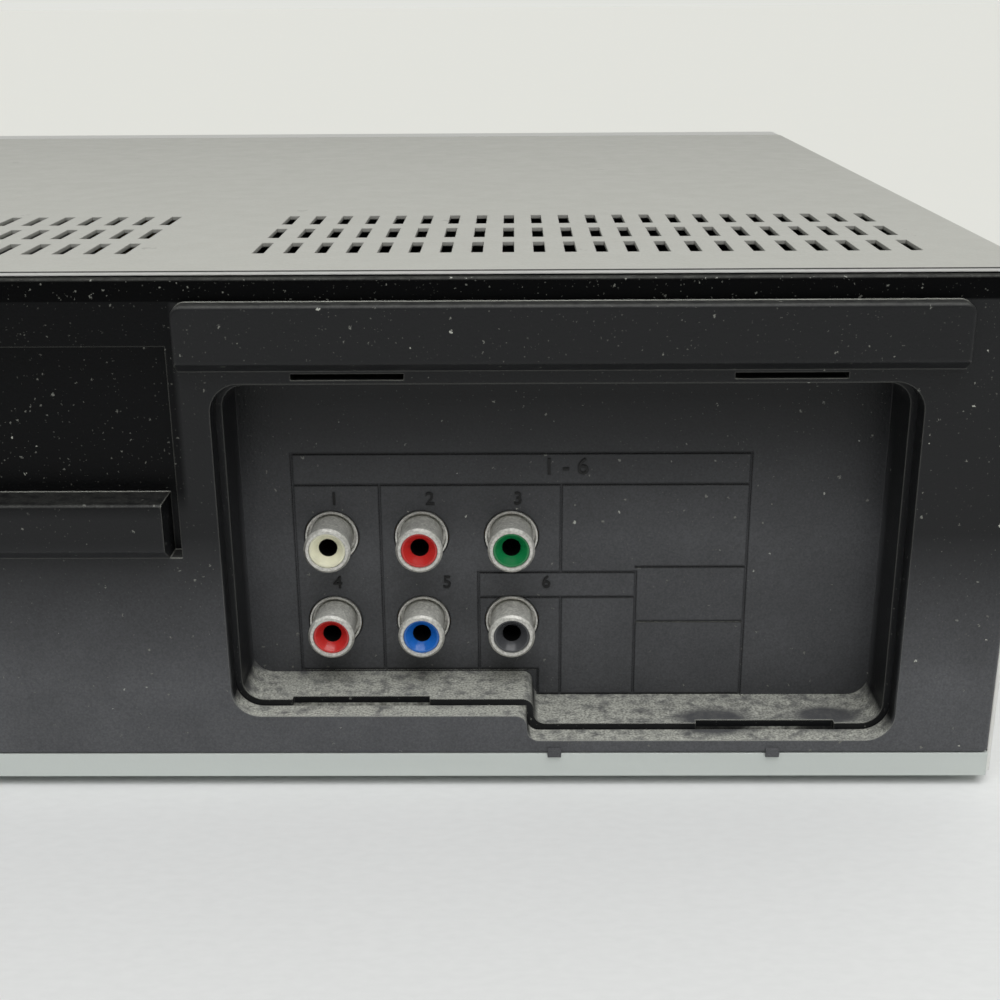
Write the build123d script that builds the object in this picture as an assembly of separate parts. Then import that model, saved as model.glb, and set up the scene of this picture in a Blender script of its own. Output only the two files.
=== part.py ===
from build123d import *
import os
from math import acos, cos, pi, radians, sin, tan

# A DVD player and VHS recorder in one case. Millimetres. The front faces -Y and +Z is up.
# The origin is on the floor, under the middle of the case.

# ---- overall ----
depth = 250.0
height = 92.6
foot_height = 2.0
sheet = 1.0
cover_sheet = 0.7
cover_bend = 2.0
gap = 0.3
run_fit = 0.05
seam = 0.4

# ---- front, from its left end: disc tray, key column, cassette flap ----
tray_margin = 25.0
column_width = 63.0
cassette_margin = 14.0

# ---- front bezel ----
bezel_depth = 12.0
bezel_wall = 2.5
button_proud = 1.0
bezel_round = 2.5

# ---- rear panel, measured down from the cover's top and in from the case's right side ----
panel_wall = 3.0
panel_proud = 3.0
panel_low = 86.1
band_top = 4.8
band_low = 14.3
band_foot = 16.1
band_in = 12.0
band_out = 139.2
pocket_in = 18.0
pocket_out = 134.5
pocket_top = 18.3
pocket_low_jacks = 78.6
pocket_low_blank = 83.5
pocket_step = 82.6
pocket_round = 5.0
step_round = 3.0
lip_depth = 4.0
lip_wall = 2.0
lip_step = 1.2
pocket_depth = 14.4
mould_wall = 2.2
hook_half = 1.2
hook_proud = 0.5
hook_in = (39.2, 77.8)
line_width = 0.4
line_depth = 0.3

# ---- shallow bay beside the pocket, with its ledge ----
bay_in = 141.0
bay_out = 246.0
bay_top = 12.0
bay_low = 48.5
bay_depth = 4.0
ledge_top = 38.0
ledge_low = 46.3
ledge_clear = 2.1

# ---- jacks ----
jack_pitch_x = 16.16
jack_pitch_z = 16.54
jack_first_in = 85.3
jack_row_drop = 50.6
jack_rim_r = 4.15
jack_barrel_r = 3.85
jack_bore_r = 3.25
jack_collar_r = 4.75
jack_hole_r = 4.95
jack_reach = 7.4
pin_hole_r = 1.65
vcr_jack_in = 146.1
vcr_jack_drop = 66.6
vcr_jack_columns = 2
vcr_jack_rows = 3
vcr_pocket_margin = 12.0
jack_body_half = (6.2, 6.5)
jack_board_margin = 9.0

# ---- cover vents ----
vent_width = 2.0
vent_length = 11.0
vent_pitch = 5.313
vent_row_pitch = 16.4
vent_rows = 3
vent_columns = 22
vent_first_in = 16.6
vent_first_back = 21.8
vent_group_gap = 23.5
vent_groups = 3

# ---- disc loader ----
disc_r = 60.0
tray_z = 63.0
tray_plate = 3.0
tray_rim = 2.4
tray_slot_half = 20.0
recess_floor = 1.5
tray_front_height = 17.0
loader_wall = 3.0
loader_floor = 2.5
loader_drop = 18.0
gear_module = 1.0
gear_teeth = 24
gear_back = 28.0
backlash = 0.16
pulley_r = 17.0
motor_pulley_r = 3.6
motor_r = 10.5
motor_height = 18.0
sled_travel = 34.0
turntable_r = 15.0
hub_r = 7.4
rod_r = 1.5
traverse_pivot_back = 90.0

# ---- cassette deck ----
cassette_width = 188.0
cassette_height = 25.0
slot_z = 56.0
holder_front_back = 38.5
holder_depth = 43.5
door_height = 32.0
door_thick = 3.0
deck_z = 16.0
deck_plate = 1.5
drum_r = 31.0
drum_tilt = 5.97
drum_y = 45.0
drum_aside = 8.0
reel_spacing = 92.5
reel_y = -44.0
reel_r = 20.0
capstan_r = 1.5

# ---- boards and fasteners ----
board = 1.6
board_z = 12.0
screw_r = 1.5
foot_r = 11.0

# ---- places worked out from the sizes above ----
tray_front_half = disc_r + 10.0
width = tray_margin + 2 * tray_front_half + column_width + cassette_width + cassette_margin
side = width / 2
top = height
face_y = -depth / 2 + button_proud
bezel_back = face_y + bezel_depth
rear_y = depth / 2 - panel_proud
cover_rear = rear_y - 1.3
inner_top = top - cover_sheet
inner_side = side - cover_sheet
disc_x = -side + tray_margin + tray_front_half
disc_back = disc_r + 14.0
disc_y = face_y + disc_back
tray_half = disc_r + 6.0
tray_length = 2 * disc_r + 43.0
tray_travel = disc_back + disc_r + 4.0
column_x = disc_x + tray_front_half + 30.0
deck_x = side - cassette_margin - cassette_width / 2
tray_front_y = face_y + 5.0


def from_right(distance):
    """X of a point measured from the case's right side, as seen from behind."""
    return -side + distance


def down(distance):
    """Z of a point measured down from the cover's top."""
    return top - distance


def block(x, y, z):
    """A box between low and high values along each axis."""
    spans = [(min(a), max(a)) for a in (x, y, z)]
    middle = [(a + b) / 2 for a, b in spans]
    return Pos(*middle) * Box(*[b - a for a, b in spans])


def post(x, y, z, radius):
    """An upright round bar between two heights."""
    return Pos(x, y, (z[0] + z[1]) / 2) * Cylinder(radius, abs(z[1] - z[0]))


def bar_x(x, y, z, radius):
    """A round bar along X between two values."""
    return Pos((x[0] + x[1]) / 2, y, z) * Rot(0, 90, 0) * Cylinder(radius, abs(x[1] - x[0]))


def bar_y(x, y, z, radius):
    """A round bar along Y between two values."""
    return Pos(x, (y[0] + y[1]) / 2, z) * Rot(90, 0, 0) * Cylinder(radius, abs(y[1] - y[0]))


def slab(outline, y):
    """A flat outline drawn in X and Z, made solid between two Y values."""
    low, high = min(y), max(y)
    plane = Plane((0, high, 0), x_dir=(1, 0, 0), z_dir=(0, -1, 0))
    return extrude(plane * outline, high - low)


def rounded(points, radii):
    """A closed outline with its corners rounded."""
    face = make_face(Polyline(*points, close=True))
    for point, radius in zip(points, radii):
        if radius > 0:
            corner = face.vertices().sort_by_distance((*point, 0))[0]
            face = fillet(corner, radius)
    return face


def panel_rect(x, z, radius=0.0):
    """A rectangle with round corners, between low and high values in X and Z."""
    points = [(x[0], z[0]), (x[1], z[0]), (x[1], z[1]), (x[0], z[1])]
    return rounded(points, [radius] * 4)


def fuse(pieces):
    """All the pieces as one solid."""
    pieces = list(pieces)
    return pieces[0] + pieces[1:] if len(pieces) > 1 else pieces[0]


def group(pieces):
    """Pieces that stay separate solids in one node."""
    return Compound(children=list(pieces))


# ---- case ----

vent_group_pitch = (vent_columns - 1) * vent_pitch + vent_group_gap
vent_x = [
    from_right(vent_first_in + number * vent_pitch + bank * vent_group_pitch)
    for bank in range(vent_groups)
    for number in range(vent_columns)
]
vent_y = [cover_rear - vent_first_back - row * vent_row_pitch for row in range(vent_rows)]
side_screw_y = (-70.0, 85.0)
side_screw_z = 12.0
cover_low = foot_height + seam


def top_cover():
    outer = [(-side, cover_low), (side, cover_low), (side, top), (-side, top)]
    inner = [(x * inner_side / side, z - cover_sheet * (z == top)) for x, z in outer]
    y = (bezel_back + seam, cover_rear)
    inner_bend = cover_bend - cover_sheet
    shell = slab(rounded(outer, [0, 0, cover_bend, cover_bend]), y)
    shell -= slab(rounded(inner, [0, 0, inner_bend, inner_bend]), y)
    vents = [Pos(x, v, top) * Box(vent_width, vent_length, 4 * sheet) for x in vent_x for v in vent_y]
    holes = [bar_x((-side - 1, side + 1), v, side_screw_z, screw_r + 0.2) for v in side_screw_y]
    return shell - vents - holes


foot_x = side - 32.0
foot_y = 92.0
pan_wall_top = 20.0
pan_front_top = 9.0
rib_half = 3.0
rib_y = (-85.0, -20.0, 40.0)
standoffs = []


def bottom_chassis():
    low = foot_height
    x = inner_side - gap
    front = bezel_back + seam
    pan = block((-x, x), (front, rear_y), (low, low + sheet))
    walls = [
        block((-x, -x + sheet), (front, cover_rear - 4), (low, pan_wall_top)),
        block((x - sheet, x), (front, cover_rear - 4), (low, pan_wall_top)),
        block((-x, x), (rear_y - sheet, rear_y), (low, down(panel_low))),
        block((-x, x), (front, front + sheet), (low, pan_front_top)),
    ]
    rib_z = (low + sheet, low + 2 * sheet)
    ribs = [block((-x + 20, x - 20), (v - rib_half, v + rib_half), rib_z) for v in rib_y]
    posts = [post(u, v, (low + sheet, h), r) for u, v, h, r in standoffs]
    body = fuse([pan] + walls + ribs + posts)
    holes = [bar_x((-side - 1, side + 1), v, side_screw_z, screw_r + 0.2) for v in side_screw_y]
    return body - holes


def feet():
    places = [(u * foot_x, v * foot_y) for u in (-1, 1) for v in (-1, 1)]
    return group(
        chamfer(post(u, v, (0, foot_height), foot_r).edges().sort_by(Axis.Z)[0], 0.6) for u, v in places
    )


def screw(length, head_r=2.8, head=1.8):
    """A pan-head screw along -Z with its head's underside at the origin and a cross slot."""
    dome = Pos(0, 0, head / 2) * Cylinder(head_r, head)
    dome = chamfer(dome.edges().sort_by(Axis.Z)[-1], head * 0.4)
    cross = Pos(0, 0, head) * (Box(2.8, 0.6, head) + Box(0.6, 2.8, head))
    return dome + Pos(0, 0, -length / 2) * Cylinder(screw_r, length) - cross


def cover_screws():
    right = [Pos(side, v, side_screw_z) * Rot(0, 90, 0) * screw(6.0) for v in side_screw_y]
    left = [Pos(-side, v, side_screw_z) * Rot(0, -90, 0) * screw(6.0) for v in side_screw_y]
    return group(right + left)


# ---- rear ----


def pocket_outline(grow=0.0):
    """The jack pocket's mouth: its floor steps down beside the jacks."""
    near, far, step = from_right(pocket_in), from_right(pocket_out), from_right(pocket_step)
    high, low_jacks, low_blank = down(pocket_top), down(pocket_low_jacks), down(pocket_low_blank)
    points = [
        (near - grow, low_blank - grow),
        (step + grow, low_blank - grow),
        (step + grow, low_jacks - grow),
        (far + grow, low_jacks - grow),
        (far + grow, high + grow),
        (near - grow, high + grow),
    ]
    outer, convex, hollow = pocket_round + grow, step_round * 0.7, step_round * 0.7
    return rounded(points, [outer, convex, hollow, outer, outer, outer])


vcr_jack_x = side - vcr_jack_in
vcr_jack_z0 = down(vcr_jack_drop)
vcr_half_x = jack_pitch_x * (vcr_jack_columns - 1) / 2 + vcr_pocket_margin
vcr_pocket_x = (
    vcr_jack_x - vcr_half_x,
    vcr_jack_x + vcr_half_x,
)
vcr_pocket_z = (
    vcr_jack_z0 - vcr_pocket_margin,
    vcr_jack_z0 + jack_pitch_z * (vcr_jack_rows - 1) + vcr_pocket_margin,
)
tuner_x = (side - 103.0, side - 77.0)
tuner_z = (down(72.6), down(20.6))
f_jack_z = (down(58.6), down(34.6))
f_nut_r = 6.4
f_barrel_r = 4.7
f_bore_r = 2.2
inlet_x = side - 31.0
inlet_z = down(58.6)
inlet_half = (13.0, 8.0)
inlet_wall = 2.2
inlet_pin_x = 4.3
inlet_pin_r = 1.2
cut_back = rear_y - 9.0
panel_slots = ((102.6, 121.0), (30.7, 49.0))
cut_front = rear_y + 9.0


def vcr_outline(grow=0.0):
    """The mouth of the cassette recorder's jack pocket."""
    x = (vcr_pocket_x[0] - grow, vcr_pocket_x[1] + grow)
    z = (vcr_pocket_z[0] - grow, vcr_pocket_z[1] + grow)
    return panel_rect(x, z, pocket_round + grow)


def rear_band():
    """The raised bar over the jack pocket, with a sloped underside."""
    x = (from_right(band_in), from_right(band_out))
    profile = [
        (rear_y - 1, down(band_foot)),
        (rear_y, down(band_foot)),
        (rear_y + panel_proud, down(band_low)),
        (rear_y + panel_proud, down(band_top)),
        (rear_y - 1, down(band_top)),
    ]
    face = make_face(Polyline(*profile, close=True))
    bar = extrude(Plane((x[0], 0, 0), x_dir=(0, 1, 0), z_dir=(1, 0, 0)) * face, x[1] - x[0])
    ends = bar.edges().filter_by(Axis.Y).sort_by(Axis.Z)[-2:]
    bar = fillet(ends, 2.0)
    rim = [e for e in bar.edges().filter_by(Axis.X) if abs(e.center().Y - rear_y - panel_proud) < 0.01]
    return fillet(rim, 0.7)


def ledge():
    """The bar that stands out at the foot of the shallow bay."""
    x = (from_right(bay_in) + ledge_clear, from_right(bay_out) - ledge_clear)
    back = rear_y - bay_depth - 1
    profile = [
        (back, down(bay_low)),
        (rear_y, down(bay_low)),
        (rear_y + panel_proud, down(ledge_low)),
        (rear_y + panel_proud, down(ledge_top)),
        (back, down(ledge_top)),
    ]
    face = make_face(Polyline(*profile, close=True))
    bar = extrude(Plane((x[0], 0, 0), x_dir=(0, 1, 0), z_dir=(1, 0, 0)) * face, x[1] - x[0])
    rim = [e for e in bar.edges().filter_by(Axis.X) if e.center().Y > rear_y + panel_proud - 0.01]
    return fillet(rim, 0.7)


def panel_hooks():
    """Two small hooks that hold the panel over the chassis edge."""
    low, face = down(panel_low), rear_y + hook_proud
    hooks = []
    for distance in hook_in:
        x = (from_right(distance) - hook_half, from_right(distance) + hook_half)
        hooks.append(block(x, (rear_y - hook_proud, face), (low, low + 1.0)))
        hooks.append(block(x, (rear_y + run_fit, face), (low - hook_proud, low)))
    return hooks


def inlet_outline(shrink):
    """The mains inlet's round-cornered outline, made smaller all round."""
    a, b = inlet_half[0] - shrink, inlet_half[1] - shrink
    return panel_rect((inlet_x - a, inlet_x + a), (inlet_z - b, inlet_z + b), 3.0 - shrink * 0.4)


def rear_panel():
    """The moulded back with its bar, its shallow bay and the mouths of both pockets."""
    x = inner_side - gap
    low, high = down(panel_low), inner_top - 0.2
    plate = slab(panel_rect((-x, x), (low, high), sheet), (rear_y - panel_wall, rear_y))
    rim = plate.edges().filter_by(Axis.X).group_by(Axis.Z)[-1].sort_by(Axis.Y)[-1]
    plate = fillet(rim, 0.7)
    bay_x = (from_right(bay_in), from_right(bay_out))
    bay_z = (down(bay_low), down(bay_top))
    back_z = (bay_z[0] - 3, bay_z[1] + 3)
    back = block((bay_x[0] - 2, bay_x[1] + 2), (rear_y - bay_depth - 3, rear_y - 1), back_z)
    lip_y = (rear_y - lip_depth, rear_y - 1)
    lips = slab(pocket_outline(lip_wall), lip_y) + slab(vcr_outline(lip_wall), lip_y)
    body = fuse([plate, back, lips, rear_band()] + panel_hooks())
    body -= block(bay_x, (rear_y - bay_depth, rear_y + 1), bay_z)
    body = body + ledge()
    cut_y = (cut_back, cut_front)
    body -= slab(pocket_outline(), cut_y)
    body -= slab(vcr_outline(), cut_y)
    slots = [block((from_right(u), from_right(v)), cut_y, (down(17.6), down(16.6))) for u, v in panel_slots]
    windows = [slab(panel_rect(tuner_x, tuner_z, 2.0), cut_y), slab(inlet_outline(0.0), cut_y)]
    return body - slots - windows


def jack_places():
    """The six jacks of the disc player: (x, z), three columns in two rows."""
    return [
        (from_right(jack_first_in + column * jack_pitch_x), down(jack_row_drop + row * jack_pitch_z))
        for row in range(2)
        for column in range(3)
    ]


def vcr_jack_places():
    """The jacks of the cassette recorder: (x, z), two columns in three rows."""
    first_x = vcr_jack_x - (vcr_jack_columns - 1) / 2 * jack_pitch_x
    return [
        (first_x + column * jack_pitch_x, vcr_jack_z0 + row * jack_pitch_z)
        for row in range(vcr_jack_rows)
        for column in range(vcr_jack_columns)
    ]


floor_y = rear_y - pocket_depth - 1.0
jack_tip_y = floor_y + jack_reach
jack_board_y = floor_y - 7.0
jack_front_y = jack_board_y + board
tub_front = rear_y - lip_depth - 0.2
notch_height = 3.0


def line_cut(x, z):
    """A shallow groove in the pocket's floor between two corners."""
    half = line_width / 2
    spans = [(min(v) - half, max(v) + half) for v in (x, z)]
    return block(spans[0], (floor_y - line_depth, floor_y + 1), spans[1])


def grid_lines():
    """The frames moulded round the jacks."""
    left, right, high, header = from_right(124.2), from_right(42.9), down(35.0), down(40.8)
    low, low_right = down(77.0), down(82.2)
    first, second, step = from_right(108.8), from_right(76.4), from_right(80.6)
    box_left, box_right, box_top, box_header = from_right(91.3), from_right(62.8), down(57.6), down(62.5)
    row_one, row_two = down(56.6), down(67.4)
    return [
        line_cut((left, right), (high, high)),
        line_cut((left, left), (low, high)),
        line_cut((right, right), (low_right, high)),
        line_cut((left, right), (header, header)),
        line_cut((left, step), (low, low)),
        line_cut((step, right), (low_right, low_right)),
        line_cut((step, step), (low_right, low)),
        line_cut((first, first), (low, header)),
        line_cut((second, second), (box_top, header)),
        line_cut((box_left, box_right), (box_top, box_top)),
        line_cut((box_left, box_right), (box_header, box_header)),
        line_cut((box_left, box_left), (low, box_top)),
        line_cut((box_right, box_right), (low_right, box_top)),
        line_cut((second, second), (low_right, box_header)),
        line_cut((box_right, right), (row_one, row_one)),
        line_cut((box_right, right), (row_two, row_two)),
    ]


def jack_tub(outline, places):
    """A pocket moulded with a flange round its mouth and a hole for each jack."""
    back = floor_y - mould_wall
    tub = slab(outline(1.0), (back, tub_front)) + slab(outline(4.0), (tub_front - 2, tub_front))
    tub -= slab(outline(-lip_step), (floor_y, tub_front + 1))
    holes = [bar_y(x, (back - 1, floor_y + 1), z, jack_hole_r) for x, z in places]
    return tub - holes


def dvd_jack_panel():
    """The deep pocket with its jack holes, its moulded frames and two notches in its rim."""
    notches = []
    for near, far, low in ((100.0, 124.5, pocket_low_jacks), (27.6, 52.3, pocket_low_blank)):
        z = (down(low + notch_height), down(low - 1.4))
        notches.append(block((from_right(near), from_right(far)), (tub_front - 1.2, tub_front + 1), z))
    return jack_tub(pocket_outline, jack_places()) - notches - grid_lines()


def vcr_jack_panel():
    return jack_tub(vcr_outline, vcr_jack_places())


def jack_shell(x, z):
    """A turned metal sleeve: collar in the panel's hole, barrel and rolled rim."""
    collar_y = floor_y - 1.6
    profile = [
        (jack_bore_r, jack_front_y),
        (jack_barrel_r, jack_front_y),
        (jack_barrel_r, collar_y),
        (jack_collar_r, collar_y),
        (jack_collar_r, floor_y + 0.3),
        (jack_collar_r - 0.35, floor_y + 0.3),
        (jack_collar_r - 0.35, collar_y + 0.5),
        (jack_barrel_r, collar_y + 0.5),
        (jack_barrel_r, jack_tip_y - 2.0),
        (jack_rim_r, jack_tip_y - 1.5),
        (jack_rim_r, jack_tip_y - 0.4),
        (jack_rim_r - 0.4, jack_tip_y),
        (jack_bore_r, jack_tip_y),
    ]
    face = make_face(Polyline(*profile, close=True))
    return Pos(x, 0, z) * revolve(face, Axis.Y)


def jack_insulator(x, z):
    """A moulded plug with a dished face and the centre contact's hole."""
    r = jack_bore_r - 0.05
    plug_back, plug_front = jack_front_y + 1.0, jack_tip_y - 0.4
    profile = [
        (0, plug_back),
        (r, plug_back),
        (r, plug_front),
        (r - 0.35, plug_front),
        (pin_hole_r, plug_front - 1.5),
        (pin_hole_r, plug_back + 1.0),
        (0, plug_back + 1.0),
    ]
    face = make_face(Polyline(*profile, close=True))
    return Pos(x, 0, z) * revolve(face, Axis.Y)


dvd_colours = ["green", "red", "white", "black", "blue", "red"]
vcr_colours = ["white", "red", "white", "red", "yellow", "yellow"]
front_jack_x = (side - 49.0, side - 33.0, side - 17.0)
front_jack_z = 22.0
front_colours = ["yellow", "white", "red"]


def insulators(colour):
    """Every jack insulator of one colour."""
    rear = list(zip(jack_places() + vcr_jack_places(), dvd_colours + vcr_colours))
    found = [jack_insulator(x, z) for (x, z), c in rear if c == colour]
    ahead = [to_front(jack_insulator(0, 0), x) for x, c in zip(front_jack_x, front_colours) if c == colour]
    return group(found + ahead)


def to_front(piece, x):
    """A rear jack's piece turned round and set behind the bezel."""
    return Pos(x, face_y + 1.0 + jack_tip_y, front_jack_z) * Rot(0, 0, 180) * piece


def jack_body(x, y, z):
    """The moulded block that holds one jack on its board."""
    a, b = jack_body_half
    return block((x - a, x + a), y, (z - b, z + b))


def jack_board(places):
    """An upright circuit board behind a group of jacks, with a moulded body for each."""
    xs = [x for x, _ in places]
    zs = [z for _, z in places]
    x = (min(xs) - jack_board_margin, max(xs) + jack_board_margin)
    z = (board_z + board, max(zs) + jack_board_margin)
    plate = block(x, (jack_board_y, jack_front_y), z)
    body_y = (jack_front_y, floor_y - mould_wall - 0.1)
    bodies = [jack_body(v, body_y, w) for v, w in places]
    bores = [bar_y(v, (body_y[0], body_y[1] + 1), w, jack_barrel_r + 0.02) for v, w in places]
    return fuse([plate] + bodies) - bores


def tuner_module():
    """A folded metal can with the two aerial sockets' face in the panel's window."""
    back = rear_y - panel_wall - 0.2
    can_x, can_z = (tuner_x[0] + 1, tuner_x[1] - 1), (board_z + board, tuner_z[1] - 1)
    can = block(can_x, (deck_back_y + 5, back), can_z)
    face_x, face_z = (tuner_x[0] + gap, tuner_x[1] - gap), (tuner_z[0] + gap, tuner_z[1] - gap)
    return can + slab(panel_rect(face_x, face_z, 1.7), (back, rear_y - 1.0))


def aerial_sockets():
    """Two threaded aerial sockets, shown with their nut and thread's outer size."""
    x = (tuner_x[0] + tuner_x[1]) / 2
    found = []
    for z in f_jack_z:
        nut = slab(Pos(x, z) * RegularPolygon(f_nut_r, 6), (rear_y - 1.0, rear_y + 1.0))
        barrel = bar_y(x, (rear_y + 1.0, rear_y + panel_proud), z, f_barrel_r)
        found.append(nut + barrel - bar_y(x, (rear_y - 0.5, cut_front), z, f_bore_r))
    return group(found)


def mains_inlet():
    """A two-pin inlet: a flanged cup with its pins."""
    outer = slab(inlet_outline(gap), (rear_y - 20, rear_y - 0.2))
    cup = slab(inlet_outline(gap + inlet_wall), (rear_y - 16, rear_y + 1))
    pin_y = (rear_y - 17, rear_y - 5)
    pins = [bar_y(inlet_x + u * inlet_pin_x, pin_y, inlet_z, inlet_pin_r) for u in (-1, 1)]
    return fuse([outer - cup] + pins)


# ---- front ----

cassette_open_x = (deck_x - cassette_width / 2 - 2, deck_x + cassette_width / 2 + 2)
door_z = (slot_z - 2.0, slot_z - 2.0 + door_height)
tray_front_z = (tray_z - 5.5, tray_z - 5.5 + tray_front_height)
window_x = (disc_x - disc_r - 2.0, disc_x + disc_r + 2.0)
window_z = (22.0, 44.0)
hinge_pin_r = 1.2
key_pitch = 24.0
key_z = 36.0
key_first_x = deck_x - 79.0
round_buttons = {"power_button": (column_x, 74.0, 7.0)}
wide_buttons = {
    "tray_button": (column_x - 13.0, 54.0, 9.0, 3.0),
    "eject_button": (column_x + 13.0, 54.0, 9.0, 3.0),
}
for place, key in enumerate(("rewind", "play", "forward", "stop", "record")):
    wide_buttons[f"{key}_button"] = (key_first_x + place * key_pitch, key_z, 10.0, 4.0)


def wide_outline(name, grow=0.0):
    x, z, half, tall = wide_buttons[name]
    return panel_rect((x - half - grow, x + half + grow), (z - tall - grow, z + tall + grow), 1.5)


wall_back = face_y + bezel_wall
hinge_y = face_y + 4.6
hinge_z = door_z[1] + 0.8


def front_bezel():
    z = (foot_height, top)
    outer = slab(panel_rect((-side, side), z, bezel_round), (face_y, bezel_back))
    rim = outer.edges().filter_by(GeomType.LINE).group_by(Axis.Y)[0]
    outer = chamfer(rim, 0.8)
    inner = panel_rect((-side + bezel_wall, side - bezel_wall), (z[0] + bezel_wall, z[1] - bezel_wall), 1.0)
    shell = outer - slab(inner, (wall_back, bezel_back + 1))
    cut_y = (face_y - 1, wall_back + 1)
    tray = (disc_x - tray_front_half - seam, disc_x + tray_front_half + seam)
    holes = [
        slab(panel_rect(tray, (tray_front_z[0] - seam, tray_front_z[1] + seam), 1.0), cut_y),
        slab(panel_rect(cassette_open_x, (door_z[0] - seam, door_z[1] + seam), 1.0), cut_y),
        slab(panel_rect(window_x, window_z, 2.0), cut_y),
    ]
    holes += [bar_y(x, cut_y, z0, r + gap) for x, z0, r in round_buttons.values()]
    holes += [slab(wide_outline(name, gap), cut_y) for name in wide_buttons]
    holes += [bar_y(x, cut_y, front_jack_z, jack_rim_r + 0.8) for x in front_jack_x]
    shell = shell - holes
    left, right = cassette_open_x
    ear_y, ear_z = (wall_back, hinge_y + 2.6), (hinge_z - 3, top - bezel_wall)
    ears = [block((left - 4, left - 0.1), ear_y, ear_z), block((right + 0.1, right + 4), ear_y, ear_z)]
    bore = bar_x((left - 3, right + 3), hinge_y, hinge_z, hinge_pin_r + run_fit)
    return fuse([shell] + ears) - bore


def cassette_door():
    x = (cassette_open_x[0] + seam, cassette_open_x[1] - seam)
    flap = slab(panel_rect(x, (door_z[0], door_z[1]), 0.8), (face_y, face_y + door_thick))
    grip_z = (door_z[0] + 4, door_z[0] + 8)
    grip = slab(panel_rect((x[0] + 30, x[1] - 30), grip_z, 1.5), (face_y - 1, face_y + 0.6))
    web_y = (face_y + door_thick - 0.5, hinge_y + 1.2)
    knuckles = []
    for u, end in zip((-1, 1), x):
        knuckles.append(bar_x((end, end - u * 4), hinge_y, hinge_z, 1.9))
        knuckles.append(block((end, end - u * 4), web_y, (hinge_z - 5, hinge_z)))
        knuckles.append(bar_x((end - u * 2, end + u * 2.6), hinge_y, hinge_z, hinge_pin_r))
    return fuse([flap - grip] + knuckles)


flange_thick = 1.2
stem_clear = 4.6
key_board_y = face_y + 14.0


def button(outline, flange, stem_r, x, z):
    """A key cap through the bezel, its flange behind the wall and its stem."""
    cap = slab(outline, (face_y - button_proud, wall_back + gap))
    rim = cap.edges().group_by(Axis.Y)[0]
    cap = fillet(rim, 0.35)
    back = wall_back + gap
    stem = bar_y(x, (back + flange_thick, key_board_y - stem_clear), z, stem_r)
    return fuse([cap, slab(flange, (back, back + flange_thick)), stem])


def wide_button(name):
    x, z, _, _ = wide_buttons[name]
    return button(wide_outline(name), wide_outline(name, 1.0), 1.8, x, z)


def round_button(name):
    x, z, r = round_buttons[name]
    return button(Pos(x, z) * Circle(r), Pos(x, z) * Circle(r + 1.2), 2.2, x, z)


def display_window():
    x = (window_x[0] + 0.15, window_x[1] - 0.15)
    z = (window_z[0] + 0.15, window_z[1] - 0.15)
    lens = slab(panel_rect(x, z, 1.85), (face_y + 0.3, wall_back))
    flange = panel_rect((x[0] - 2, x[1] + 2), (z[0] - 2, z[1] + 2), 1.0)
    return lens + slab(flange, (wall_back, wall_back + 1.0))


def display_module():
    """The glass display tube behind the window, with its row of pins."""
    x = (window_x[0] + 8, window_x[1] - 8)
    back = key_board_y - 2
    glass = block(x, (back - 5, back), (window_z[0] + 2, window_z[1] - 2))
    pin_z = (window_z[0] + 3, window_z[0] + 3.6)
    pins = [block((v - 0.3, v + 0.3), (back, key_board_y), pin_z) for v in spread(x[0] + 6, x[1] - 6, 9)]
    return fuse([glass] + pins)


def spread(low, high, count):
    """Evenly spaced values from low to high."""
    return [low + (high - low) * k / (count - 1) for k in range(count)]


def front_board():
    """The board behind the bezel, with a switch under each button."""
    y = (key_board_y, key_board_y + board)
    plate = block((disc_x - disc_r - 8, side - 10), y, (board_z, 44.5))
    tab = block((column_x - 24, column_x + 24), y, (44.0, 86.0))
    places = [place[:2] for place in (*round_buttons.values(), *wide_buttons.values())]
    switches = [block((x - 3, x + 3), (key_board_y - 2, key_board_y), (z - 3, z + 3)) for x, z in places]
    knobs = [bar_y(x, (key_board_y - 3, key_board_y - 2), z, 1.7) for x, z in places]
    body_y = (face_y + jack_reach + 5, key_board_y)
    bodies = [jack_body(x, body_y, front_jack_z) for x in front_jack_x]
    bore_y = (face_y, key_board_y - 0.1)
    bores = [bar_y(x, bore_y, front_jack_z, jack_barrel_r + 0.02) for x in front_jack_x]
    return fuse([plate, tab] + switches + knobs + bodies) - bores


# ---- disc loader ----

tray_back_y = tray_front_y + tray_length
frame_half = tray_half + 0.4
frame_x = (disc_x - frame_half - loader_wall, disc_x + frame_half + loader_wall)
frame_y = (face_y + 14.0, tray_back_y + 8.0)
frame_z = (tray_z - loader_drop, tray_z + tray_plate + tray_rim + 2.6)
pitch_r = gear_module * gear_teeth / 2
rack_pitch_x = disc_x + tray_half - 11.0
gear_x = rack_pitch_x - pitch_r
gear_y = face_y + gear_back
gear_z = (tray_z - 4.2, tray_z - gap)
pulley_z = (tray_z - 10.0, tray_z - 5.5)
motor_x = gear_x - 36.0
pivot_y = disc_y + traverse_pivot_back
pivot_z = frame_z[0] + loader_floor + 2.6
traverse_half = 36.0
gear_post_r = 1.6
belt_side = 1.2
motor_shaft_r = 0.8
pivot_pin_r = 2.0
small_disc_r = 41.0


def tray_front():
    x = (disc_x - tray_front_half, disc_x + tray_front_half)
    face = slab(panel_rect(x, tray_front_z, 0.8), (face_y, tray_front_y))
    rim = face.edges().group_by(Axis.Y)[0]
    face = fillet(rim, 0.5)
    hollow = panel_rect((x[0] + 2, x[1] - 2), (tray_front_z[0] + 2, tray_z - 1), 0.5)
    return face - slab(hollow, (face_y + 2, tray_front_y + 1))


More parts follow.
